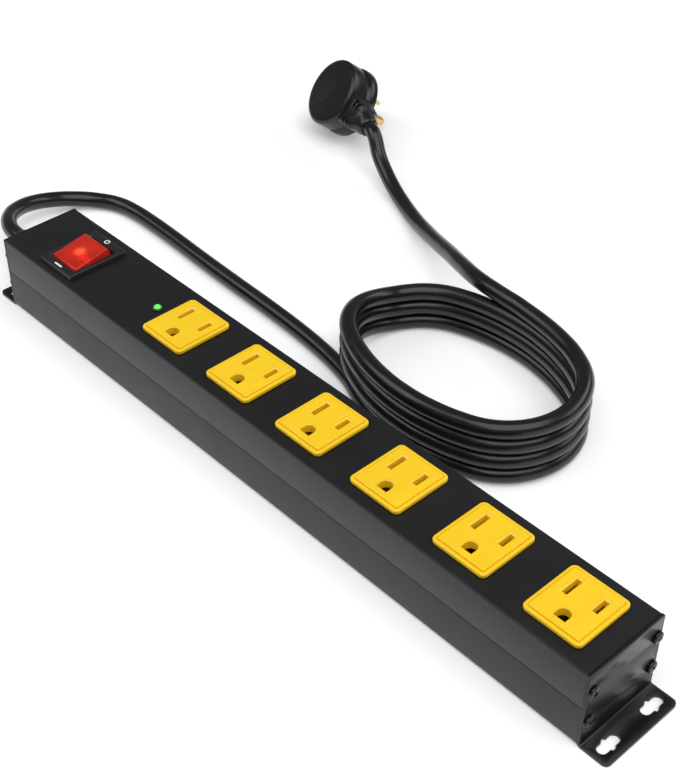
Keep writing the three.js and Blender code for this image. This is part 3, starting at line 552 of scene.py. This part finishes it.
M_HOUSING = powder_black("housing_black", (0.0075, 0.0075, 0.0082), 0.4, 0.22, 0.012)
M_BRACKET = powder_black("bracket_black", (0.0045, 0.0045, 0.005), 0.34, 0.26, 0.01)
M_SCREW = powder_black("screw_black", (0.004, 0.004, 0.0045), 0.2, 0.3, 0.006)
M_YELLOW = plastic("outlet_yellow", (0.93, 0.6, 0.014), 0.33, 0.32, 0.007)
M_COVER = plastic("cover_dark", (0.03, 0.03, 0.032), 0.5)
M_TRAY = plastic("tray_natural", (0.62, 0.57, 0.46), 0.5)
M_BLACK = plastic("moulded_black", (0.013, 0.013, 0.0145), 0.3, 0.4, 0.006)
M_CORD = cord_jacket()
M_RED = clear_red()
M_NEON = lit("neon_glow", (1.0, 0.45, 0.12), (1.0, 0.32, 0.06), 6.0)
M_GREEN = lit("lens_green", (0.1, 0.5, 0.08), (0.1, 0.75, 0.08), 0.7)
M_BRASS = brushed("brass", (0.78, 0.55, 0.2), 0.3, (0.1, 1, 1))
M_STEEL = brushed("spring_steel", (0.6, 0.61, 0.63), 0.25, (1, 1, 0.2))
M_BOARD = printed_board()
M_VARISTOR = plastic("varistor_blue", (0.02, 0.08, 0.42), 0.3)
M_WIRE_BLACK = plastic("wire_black", (0.02, 0.02, 0.02), 0.4)
M_WIRE_WHITE = plastic("wire_white", (0.75, 0.75, 0.72), 0.4)
M_WIRE_GREEN = plastic("wire_green", (0.03, 0.3, 0.07), 0.4)
M_MARK = plastic("mark_white", (0.85, 0.85, 0.84), 0.45, 0.2, 0.003)


# ---- the mains cord -----------------------------------------------------------------------
def make_cord():
    lead_in = [
        plug_point(SLEEVE_TIP + 5, 0, PLUG_MIDDLE),
        plug_point(SLEEVE_TIP - 2, 0, PLUG_MIDDLE),
    ]
    route = RUN + coil_points() + TAIL + lead_in
    curve = bpy.data.curves.new("cord", "CURVE")
    curve.dimensions = "3D"
    curve.bevel_depth = CORD_DIAMETER / 2
    curve.bevel_resolution = 5
    curve.resolution_u = 8
    curve.use_fill_caps = True
    spline = curve.splines.new("BEZIER")
    spline.bezier_points.add(len(route) - 1)
    for knot, point in zip(spline.bezier_points, route):
        knot.co = Vector(point) * MM
        knot.handle_left_type = knot.handle_right_type = "AUTO"
    cord = bpy.data.objects.new("cord", curve)
    bpy.context.collection.objects.link(cord)
    return settle(cord, M_CORD, ("cord_run", "cord_coil", "cord_tail"))


cord = make_cord()

# ---- housing ------------------------------------------------------------------------------
WALL = 1.5
PORT_Y = 17.3
PORT_HALF = 2.6
PORT_BORE = 1.45
END_REACH = 0.26  # takes the housing up to its end plates
LENS_HOLE = 2.3


def channel(web, seam, port):
    """Cross-section of one half: a channel with a screw port in each side wall."""
    inward = math.copysign(1, seam - web)
    inner = web + inward * WALL
    wall = HALF_WIDTH - WALL
    ledge = PORT_Y - PORT_HALF
    near, far = port - inward * PORT_HALF, port + inward * PORT_HALF
    right = [
        ((HALF_WIDTH, web), 0.6),
        ((HALF_WIDTH, seam), 0.1),
        ((wall, seam), 0),
        ((wall, far), 0),
        ((ledge, far), 0.4),
        ((ledge, near), 0.4),
        ((wall, near), 0),
        ((wall, inner), 0.4),
    ]
    left = [((-y, z), radius) for (y, z), radius in reversed(right)]
    both = right + left
    return round_corners([point for point, _ in both], [radius for _, radius in both], 3)


def housing_half(name, web, seam, port):
    ends = (TOP_LOW.x - END_REACH, TOP_HIGH.x + END_REACH)
    half = to_object(name, prism(channel(web, seam, port), *ends, "x"))
    bores = []
    for y in (-PORT_Y, PORT_Y):
        hole = circle(PORT_BORE, 24, y, port)
        bores.append(prism(hole, TOP_LOW.x - 1, TOP_HIGH.x + 1, "x"))
    return cut(half, *bores)


def make_housing():
    port_top = center_of("end_screw_2").z
    port_bottom = center_of("end_screw_1").z
    top = housing_half("housing_top", TOP_HIGH.z, TOP_LOW.z, port_top)
    depth = (FACE_Z - 3, FACE_Z + 2)
    windows = [(center_of(f"outlet_body_{i}").x, 0, *OUTLET_BODY) for i in OUTLETS]
    windows.append((SWITCH_X, SWITCH_Y, *SWITCH_BODY))
    cutters = []
    for x, y, half_x, half_y in windows:
        outline = rounded_rectangle(half_x + GAP, half_y + GAP, 1)
        cutters.append(moved(prism(outline, *depth), x, y))
    cutters.append(moved(prism(circle(LENS_HOLE, 24), *depth), LAMP_X))
    cut(top, *cutters)
    settle(top, M_HOUSING, ("top_housing",))
    bottom = housing_half("housing_bottom", BOTTOM_LOW.z, BOTTOM_HIGH.z, port_bottom)
    settle(bottom, M_HOUSING, ("bottom_housing",))


make_housing()

# ---- end brackets -------------------------------------------------------------------------
BEND = 0.8
EAR_CORNER = 2.3
SLOT_INSET = 5.75  # slot's middle from the ear's tip
SLOT_Y = 12.0
SCREW_HOLE = 1.75
CORD_HOLE = 6.4


def slot_outline():
    """Mounting slot along Y with a notch in the middle of each side."""
    half_width, straight = 2.1, 3.3
    notch, notch_tip, notch_base = 2.9, 0.9, 1.3
    points = arc(0, straight, half_width, 0, 180, 12)
    points += [(-half_width, notch_base), (-notch, notch_tip)]
    points += [(-notch, -notch_tip), (-half_width, -notch_base)]
    points += arc(0, -straight, half_width, 180, 360, 12)
    points += [(half_width, -notch_base), (notch, -notch_tip)]
    points += [(notch, notch_tip), (half_width, notch_base)]
    return points


def make_bracket(name, node, side):
    low, high = box_of(node)
    tip = high.x if side > 0 else -low.x
    out = tip - EAR_LENGTH
    inside = out - SHEET
    outer = BEND + SHEET
    profile = [(inside, high.z)]
    profile += arc(inside + outer, outer, outer, 180, 270, 8)
    profile += [(tip, 0), (tip, SHEET)]
    profile += arc(out + BEND, SHEET + BEND, BEND, 270, 180, 6)
    profile += [(out, high.z)]
    bracket = to_object(name, prism(profile, -HALF_WIDTH, HALF_WIDTH, "y"))
    through = (-2, 4)  # past both faces of the ear
    tools = []
    for y in (-SLOT_Y, SLOT_Y):
        tools.append(moved(prism(slot_outline(), *through), tip - SLOT_INSET, y))
    for y in (-PORT_Y, PORT_Y):
        for screw in ("end_screw_1", "end_screw_2"):
            hole = circle(SCREW_HOLE, 24, y, center_of(screw).z)
            tools.append(prism(hole, inside - 1, out + 1, "x"))
    for y in (-1, 1):
        inner = y * (HALF_WIDTH - EAR_CORNER)
        start = 0 if y > 0 else 270
        corner = arc(tip - EAR_CORNER, inner, EAR_CORNER, start, start + 90, 8)
        beyond = y * (HALF_WIDTH + 2)
        square = [(tip - EAR_CORNER, beyond), (tip + 2, beyond), (tip + 2, inner)]
        corner += square if y > 0 else square[::-1]
        tools.append(prism(corner, *through))
    if side < 0:
        tools.append(prism(circle(CORD_HOLE, 36, 0, EXIT_Z), inside - 1, out + 1, "x"))
    cut(bracket, *tools)
    soften(bracket, 0.16, 2, 50)
    if side < 0:
        bracket.data.transform(Matrix.Rotation(math.pi, 4, "Z"))
    settle(bracket, M_BRACKET, (node,))


make_bracket("bracket_plain", "end_bracket_plain", 1)
make_bracket("bracket_cord", "end_bracket_cord", -1)


# ---- end screws ---------------------------------------------------------------------------
HEAD_HEIGHT = 1.1
RECESS_TURN = 0.5
NEXT_TURN = 0.7  # each screw stopped at an angle of its own


def make_screws():
    """Pan heads with a cross recess; the head's face looks along +X in its own frame."""
    head = [(0, -9), (0.7, -8.6), (1.1, -8), (1.1, -0.28), (2.45, -0.28), (2.55, -0.18)]
    head += [(2.55, 0.3), (2.48, 0.6), (2.3, 0.82), (1.9, 0.98), (1.2, 1.07), (0, 1.1)]
    model = to_object("screw_model", lathe(head, 40, "x"))
    recess = []
    for turn in (0, math.pi / 2):
        wing = loft(
            [
                (rounded_rectangle(1.0, 0.2, 0.1, 2), 0.2),
                (rounded_rectangle(1.7, 0.4, 0.15, 2), 1.6),
            ],
            "x",
        )
        recess.append(transformed(wing, Matrix.Rotation(turn + RECESS_TURN, 4, "X")))
    cut(model, *recess)
    soften(model, 0.06, 1, 40)
    for i in range(1, 9):
        node = f"end_screw_{i}"
        middle = center_of(node)
        low, high = box_of(node)
        side = math.copysign(1, middle.x)
        seat = (high.x - HEAD_HEIGHT) if side > 0 else (low.x + HEAD_HEIGHT)
        screw = bpy.data.objects.new(f"screw_{i}", model.data.copy())
        bpy.context.collection.objects.link(screw)
        turn = Matrix.Rotation(NEXT_TURN * i, 4, "X")
        if side < 0:
            turn = Matrix.Rotation(math.pi, 4, "Z") @ turn
        place = Matrix.Translation(Vector((seat, middle.y, middle.z)) * MM)
        screw.data.transform(place @ turn)
        settle(screw, M_SCREW, (node,))
    bpy.data.objects.remove(model)


make_screws()

# ---- outlets ------------------------------------------------------------------------------
FLANGE = (13.0, 14.3)
PLATEAU_INSET = 1.7
FACE_BASE = FACE_Z + GAP
FLANGE_TOP = FACE_BASE + 1.8
FACE_TOP = FLANGE_TOP + 0.4
FACE_INNER = FACE_BASE - 1.6
BLADE_X = 6.35
BLADE_Y = 5.1
GROUND_Y = -6.8
GROUND_R = 2.6
LEAD_IN = 0.75
GROUND_LEAD_IN = 0.35
BLADE_HALF = 1.1
SLOTS = ((-BLADE_X, 4.25), (BLADE_X, 3.4))  # place and half length of each blade slot
BODY_WALL = 1.4


def outlet_face():
    """Flange with a shadow line round its side, a rounded rim and a grooved, raised plateau."""

    def ring(inset, radius=2.4):
        corner = max(radius - inset, 0.5)
        return rounded_rectangle(FLANGE[0] - inset, FLANGE[1] - inset, corner, 6)

    rim = 0.55
    layers = [
        (ring(0.35), FACE_BASE),
        (ring(0.1), FACE_BASE + 0.12),
        (ring(0.06), FACE_BASE + 0.62),
        (ring(0.3), FACE_BASE + 0.7),
        (ring(0.3), FACE_BASE + 0.84),
        (ring(0.0), FACE_BASE + 0.92),
    ]
    for i in range(6):
        angle = math.radians(90 * i / 5)
        inset = rim * (1 - math.cos(angle))
        layers.append((ring(inset), FLANGE_TOP - rim * (1 - math.sin(angle))))
    step = PLATEAU_INSET
    layers += [
        (ring(step - 0.36), FLANGE_TOP),
        (ring(step - 0.3), FLANGE_TOP - 0.4),
        (ring(step + 0.02), FLANGE_TOP - 0.4),
        (ring(step + 0.05), FLANGE_TOP + 0.3),
        (ring(step + 0.17), FACE_TOP),
    ]
    return loft(layers)


def rectangle(half_x, half_y):
    return rounded_rectangle(half_x, half_y, 0.18, 2)


def ground_outline(grow):
    """Flat towards -Y and half round towards +Y."""
    radius = GROUND_R + grow
    flat = -GROUND_R - grow
    return [(-radius, flat), (radius, flat)] + arc(0, 0, radius, 0, 180, 20)


def mouth(narrow, wide, depth, x, y):
    """Cutter for a hole whose top edge is a sunken lead-in."""
    layers = [
        (narrow, FACE_INNER - 1),
        (narrow, FACE_TOP - depth),
        (wide, FACE_TOP - 0.12),
        (wide, FACE_TOP + 1),
    ]
    return moved(loft(layers), x, y)


def make_outlets():
    model = to_object("outlet_model", outlet_face())
    low, _ = box_of("outlet_body_1")
    shell = prism(rounded_rectangle(*OUTLET_BODY, 0.8, 4), low.z, FACE_BASE + 0.3)
    snaps = []
    for side in (-1, 1):
        wedge = [(12.3 * side, 34.6), (12.3 * side, 31), (13.3 * side, 34.6)]
        snaps.append(prism(wedge, -3, 3, "x"))
    join(model, shell)
    inner_half = [half - BODY_WALL for half in OUTLET_BODY]
    room = prism(rounded_rectangle(*inner_half, 0.5, 3), low.z - 1, FACE_INNER)
    holes = []
    for x, half_y in SLOTS:
        slot = rectangle(BLADE_HALF, half_y)
        wide = rectangle(BLADE_HALF + LEAD_IN, half_y + LEAD_IN)
        holes.append(mouth(slot, wide, LEAD_IN, x, BLADE_Y))
    wide = ground_outline(GROUND_LEAD_IN)
    holes.append(mouth(ground_outline(0), wide, GROUND_LEAD_IN, 0, GROUND_Y))
    cut(model, room, *holes)
    join(model, *snaps)
    for i in OUTLETS:
        node = f"outlet_body_{i}"
        outlet = bpy.data.objects.new(f"outlet_{i}", model.data.copy())
        bpy.context.collection.objects.link(outlet)
        outlet.data.transform(Matrix.Translation((center_of(node).x * MM, 0, 0)))
        settle(outlet, M_YELLOW, (node,))
    bpy.data.objects.remove(model)


make_outlets()

# ---- switch -------------------------------------------------------------------------------
BEZEL = (11.9, 15.6)
BEZEL_TOP = FACE_BASE + 2
ROCKER_OPENING = (9.2, 11.0)
OPENING_CHAMFER = 0.4
SWITCH_WALL = 1.0
TERMINAL_Y = (-6, 0, 6)
TERMINAL_SLOT = (2.7, 0.7)
PIN_RADIUS = 1.2
MARK_Y = 13.4
MARK_THICKNESS = 0.05


def make_switch_frame():
    rim = 0.6
    layers = [(rounded_rectangle(*BEZEL, 0.9, 4), FACE_BASE)]
    for i in range(5):
        angle = math.radians(90 * i / 4)
        inset = 0.25 + rim * (1 - math.cos(angle))
        outline = rounded_rectangle(BEZEL[0] - inset, BEZEL[1] - inset, 0.9, 4)
        layers.append((outline, BEZEL_TOP - rim * (1 - math.sin(angle))))
    bezel = to_object("switch_bezel", loft(layers))
    low, _ = box_of("switch_frame")
    join(bezel, prism(rounded_rectangle(*SWITCH_BODY, 0.6, 3), low.z, FACE_BASE + 0.5))
    inner_half = [half - SWITCH_WALL for half in SWITCH_BODY]
    room = prism(rounded_rectangle(*inner_half, 0.3, 2), low.z + 1.2, FACE_BASE)
    narrow = rounded_rectangle(*ROCKER_OPENING, 0.5, 4)
    wide = rounded_rectangle(*[half + OPENING_CHAMFER for half in ROCKER_OPENING], 0.7, 4)
    opening = loft(
        [
            (narrow, FACE_BASE - 1),
            (narrow, BEZEL_TOP - OPENING_CHAMFER),
            (wide, BEZEL_TOP + 0.1),
            (wide, BEZEL_TOP + 1),
        ]
    )
    pin_hole = prism(circle(PIN_RADIUS + GAP, 24, 0, PIVOT_Z), -20, 20, "x")
    half_x, half_y = TERMINAL_SLOT
    slots = []
    for y in TERMINAL_Y:
        slots.append(box(-half_x, half_x, y - half_y, y + half_y, low.z - 1, low.z + 3))
    cut(bezel, room, opening, pin_hole, *slots)
    bezel.data.transform(Matrix.Translation(Vector((SWITCH_X, SWITCH_Y, 0)) * MM))
    settle(bezel, M_BLACK, ("switch_frame",))


def make_rocker():
    """Clear shell with pins, a central web and the plunger's boss, tilted to the on position."""
    outline = [(-9.9, -1), (9.9, -1), (9.9, 4.6), (9.2, 7.7), (-9.2, 7.7), (-9.9, 4.6)]
    radii = [0, 0, 0.8, 0.7, 0.7, 0.8]
    half = 8.8
    rocker = to_object("rocker", prism(round_corners(outline, radii, 5), -half, half, "x"))
    soften(rocker, 0.5, 4, 60)
    inner = [(-8.7, -2), (8.7, -2), (8.7, 4.4), (8.1, 6.5), (-8.1, 6.5), (-8.7, 4.4)]
    cut(rocker, prism(inner, -7.6, 7.6, "x"))
    boss = lathe([(0, -8), (2.6, -8), (2.6, 2.4), (0, 2.4)], 32)
    reach = 10.65  # the pins end inside the body's walls
    pins = lathe([(0, -reach), (PIN_RADIUS, -reach), (PIN_RADIUS, reach), (0, reach)], 24, "x")
    join(rocker, box(-8.1, 8.1, -0.7, 0.7, -1, 2.4), pins, boss)
    cut(rocker, lathe([(0, -9), (1.9, -9), (1.9, 1.2), (0, 1.2)], 32))
    tilt = Matrix.Rotation(ROCKER_TILT, 4, "X")
    rocker.data.transform(Matrix.Translation(Vector((SWITCH_X, SWITCH_Y, PIVOT_Z)) * MM) @ tilt)
    settle(rocker, M_RED, ("switch_rocker",), ROCKER)


def make_marks():
    """Printed off and on marks beside the rocker: a ring and a bar."""
    low, high = BEZEL_TOP, BEZEL_TOP + MARK_THICKNESS
    on = to_object("mark_on", prism(rounded_rectangle(2.6, 0.45, 0.3, 3), low, high))
    on.data.transform(Matrix.Translation(Vector((SWITCH_X, SWITCH_Y - MARK_Y, 0)) * MM))
    off = to_object("mark_off", prism(circle(1.4, 36), low, high))
    cut(off, prism(circle(0.85, 36), low - 1, high + 1))
    off.data.transform(Matrix.Translation(Vector((SWITCH_X, SWITCH_Y + MARK_Y, 0)) * MM))
    for mark in (on, off):
        settle(mark, M_MARK)


make_switch_frame()
make_rocker()
make_marks()


# ---- indicator ----------------------------------------------------------------------------
def make_indicator():
    low, high = box_of("indicator_lens")
    dome = [(0, low.z), (2.2, low.z), (2.2, low.z + 1), (1.7, low.z + 1), (1.7, FACE_BASE)]
    for angle in range(15, 90, 15):
        turn = math.radians(angle)
        rise = (high.z - FACE_BASE) * math.sin(turn)
        dome.append((1.7 * math.cos(turn), FACE_BASE + rise))
    dome.append((0, high.z))
    lens = to_object("lens", moved(lathe(dome, 32), LAMP_X))
    settle(lens, M_GREEN, ("indicator_lens",))
    low, high = box_of("indicator_ring")
    flange = [(0, low.z), (2.07, low.z), (2.07, FACE_BASE - 0.15), (2.68, FACE_BASE - 0.13)]
    flange += [(2.62, FACE_BASE + 0.1), (2.4, FACE_BASE + 0.32), (2.2, high.z), (0, high.z)]
    ring = to_object("lens_ring", lathe(flange, 36))
    cut(ring, lathe([(0, low.z - 1), (1.8, low.z - 1), (1.8, high.z + 1), (0, high.z + 1)], 36))
    ring.data.transform(Matrix.Translation((LAMP_X * MM, 0, 0)))
    settle(ring, M_BLACK, ("indicator_ring",))


make_indicator()


# ---- strain relief ------------------------------------------------------------------------
FIRST_GROOVE = 181
GROOVE_PITCH = 4


def make_relief():
    """Flanged grommet with a tapered sleeve, ringed with grooves."""
    low, high = box_of("strain_relief")
    plate = box_of("end_bracket_cord")[0].x + EAR_LENGTH
    inner_face = -high.x
    wall_in, wall_out = -(plate + SHEET - GAP), -(plate - GAP)
    profile = [(0, inner_face), (7.6, inner_face), (8, inner_face + 0.4), (8, wall_in)]
    profile += [(6.1, wall_in), (6.1, wall_out), (8, wall_out), (8.2, wall_out + 0.3)]
    profile += [(8.2, wall_out + 1.5), (7.8, wall_out + 2), (6.6, wall_out + 2.4)]
    for i in range(3):
        base = FIRST_GROOVE + GROOVE_PITCH * i
        radius = 6.3 - 0.4 * i
        profile += [(radius, base), (radius - 0.7, base + 0.4), (radius - 0.8, base + 1.6)]
        profile += [(radius - 0.2, base + 2)]
    profile += [(5.2, 192.4), (4.9, -low.x - 0.5), (4.5, -low.x), (0, -low.x)]
    turned = transformed(lathe(profile, 48, "x"), Matrix.Rotation(math.pi, 4, "Z"))
    relief = to_object("relief", moved(turned, z=EXIT_Z))
    soften(relief, 0.15, 2, 30)
    return settle(relief, M_BLACK, ("strain_relief",))


relief = make_relief()

# ---- plug ---------------------------------------------------------------------------------
BLADE_LENGTH = 16.5
PIN_LENGTH = 18.5
PLUG_BLADE_X = -4.2
PLUG_PIN_X = 7.7
BLADE_TOP = 1.5  # inside the plug, above its face


def make_plug_body():
    radius = PLUG_RADIUS
    profile = [(0, 1.8), (15.5, 1.8), (15.5, 0), (radius - 0.8, 0), (radius - 0.2, 0.25)]
    profile += [(radius, 0.9), (radius, 4.6), (radius - 0.4, 5.5), (radius - 1.4, 6.2)]
    profile += [(radius - 1.7, 6.6), (radius - 1.7, 8.3), (radius - 1.2, 9.0)]
    profile += [(radius - 0.5, 9.6), (radius - 0.4, 10.2), (radius - 0.4, 16.9)]
    profile += [(radius - 0.55, 17.6), (radius - 1.1, 18.25), (radius - 1.9, 18.55)]
    profile += [(radius - 2.6, 18.6), (0, 18.6)]
    body = to_object("plug_shell", lathe(profile, 96))

    def section(half_y, half_z, corner):
        outline = rounded_rectangle(half_y, half_z, corner, 5)
        return [(y, z + PLUG_MIDDLE) for y, z in outline]

    sleeve = [
        (section(9.0, 7.4, 2.0), radius - 5),
        (section(8.6, 7.2, 2.4), 20.5),
        (section(7.4, 6.8, 2.6), 28.6),
        (section(6.7, 6.1, 3.2), 29.6),
        (section(6.1, 5.7, 4.0), 33.0),
        (section(5.6, 5.5, 4.8), SLEEVE_TIP - 2.6),
        (section(5.0, 5.0, 4.7), SLEEVE_TIP - 0.5),
        (section(4.5, 4.5, 4.3), SLEEVE_TIP),
    ]
    arm = to_object("plug_arm", loft(sleeve, "x"))
    grooves = []
    for x in (22.4, 25.8):
        for side in (-1, 1):
            low, high = sorted((3.2 * side, 10 * side))
            grooves.append(box(x, x + 1.4, low, high, 0, 20))
    cut(arm, *grooves)
    soften(arm, 0.3, 2, 35)
    combine_with(body, arm, "UNION")
    body.data.transform(PLUG_FRAME)
    return settle(body, M_CORD, ("plug_body",))


def make_insert():
    profile = [(0, 0.2), (14.8, 0.2), (15.2, 0.5), (15.2, 1.5), (0, 1.5)]
    insert = to_object("plug_face", lathe(profile, 72))
    through = (-1, 3)
    windows = [
        moved(prism(rounded_rectangle(3.5, BLADE_HALF, 0.3, 3), *through), PLUG_BLADE_X, y)
        for y in (-BLADE_X, BLADE_X)
    ]
    cut(insert, *windows, moved(prism(circle(2.7, 36), *through), PLUG_PIN_X))
    insert.data.transform(PLUG_FRAME)
    return settle(insert, M_BLACK, ("plug_insert",))


def make_blade(name, node, y):
    """Flat blade with a chamfered tip and a locking hole."""
    half, tip_half, shoulder = 3.15, 1.9, 1.3 - BLADE_LENGTH
    outline = [(-half, BLADE_TOP), (half, BLADE_TOP), (half, shoulder)]
    outline += [(tip_half, -BLADE_LENGTH), (-tip_half, -BLADE_LENGTH), (-half, shoulder)]
    blade = to_object(name, prism(outline, -0.75, 0.75, "y"))
    cut(blade, prism(circle(1.6, 24, 0, -11.9), -2, 2, "y"))
    soften(blade, 0.18, 2, 40)
    blade.data.transform(PLUG_FRAME @ Matrix.Translation(Vector((PLUG_BLADE_X, y, 0)) * MM))
    return settle(blade, M_BRASS, (node,))


def make_ground_pin():
    profile = [(0, -PIN_LENGTH), (0.8, -PIN_LENGTH + 0.12), (1.5, -PIN_LENGTH + 0.7)]
    profile += [(2.1, -PIN_LENGTH + 1.8), (2.4, -PIN_LENGTH + 3.2), (2.4, BLADE_TOP)]
    profile.append((0, BLADE_TOP))
    pin = to_object("ground_pin", moved(lathe(profile, 40), PLUG_PIN_X))
    pin.data.transform(PLUG_FRAME)
    return settle(pin, M_BRASS, ("plug_ground_pin",))


plug_pieces = [
    make_plug_body(),
    make_insert(),
    make_blade("blade_line", "plug_blade_line", BLADE_X),
    make_blade("blade_neutral", "plug_blade_neutral", -BLADE_X),
    make_ground_pin(),
]

# ---- pieces inside: the CAD solids with their own finishes --------------------------------
INSIDE = {
    M_BRASS: [
        "neutral_busbar",
        "line_busbar",
        "ground_busbar",
        "switch_plunger",
        "switch_contact",
        "switch_terminal_lamp",
        "switch_terminal_line",
        "switch_terminal_load",
    ],
    M_COVER: [f"outlet_cover_{i}" for i in OUTLETS],
    M_TRAY: ["busbar_carrier"],
    M_STEEL: ["switch_spring"],
    M_NEON: ["switch_lamp"],
    M_BOARD: ["surge_board"],
    M_VARISTOR: [f"surge_varistor_{i}" for i in range(1, 4)],
    M_WIRE_BLACK: ["line_wire", "switched_wire"],
    M_WIRE_WHITE: ["neutral_wire", "lamp_wire"],
    M_WIRE_GREEN: ["ground_wire"],
}
for material, names in INSIDE.items():
    for name in names:
        for material_slot in NODES[name].material_slots:
            material_slot.material = material


# ---- floor, lights and world --------------------------------------------------------------
def make_floor():
    """Level pale floor, a little lit from within so that it stays white around the object."""
    bm = bmesh.new()
    half = 3.0  # metres
    corners = [(-half, -half), (half, -half), (half, half), (-half, half)]
    bm.faces.new([bm.verts.new((x, y, 0)) for x, y in corners])
    floor = to_object("floor", bm)
    made = Finish("floor_white", (0.94, 0.94, 0.945), 0.6)
    made.tone(made.noise(300.0, 2.0), 0.01)
    made.shader.inputs["Emission Color"].default_value = (1.0, 1.0, 1.0, 1)
    made.shader.inputs["Emission Strength"].default_value = 0.19
    floor.data.materials.append(made.material)


def area_light(name, place, target, size, power):
    data = bpy.data.lights.new(name, "AREA")
    data.shape = "RECTANGLE"
    data.size, data.size_y = size
    data.energy = power
    light = bpy.data.objects.new(name, data)
    light.location = place
    aim = Vector(target) - Vector(place)
    light.rotation_euler = aim.to_track_quat("-Z", "Y").to_euler()
    bpy.context.collection.objects.link(light)


def make_lights():
    world = bpy.data.worlds.new("world")
    world.use_nodes = True
    background = world.node_tree.nodes["Background"]
    background.inputs["Color"].default_value = (0.93, 0.95, 1.0, 1)
    background.inputs["Strength"].default_value = 0.2
    bpy.context.scene.world = world
    area_light("key", (0.6, -0.2, 1.5), (0, 0.05, 0), (1.8, 1.8), 24)
    area_light("fill", (-0.9, -0.7, 1.2), (0, 0.05, 0), (1.0, 1.0), 7.5)
    area_light("rim", (0.5, 1.2, 0.8), (0, 0.1, 0), (1.4, 0.5), 5)


make_floor()
make_lights()
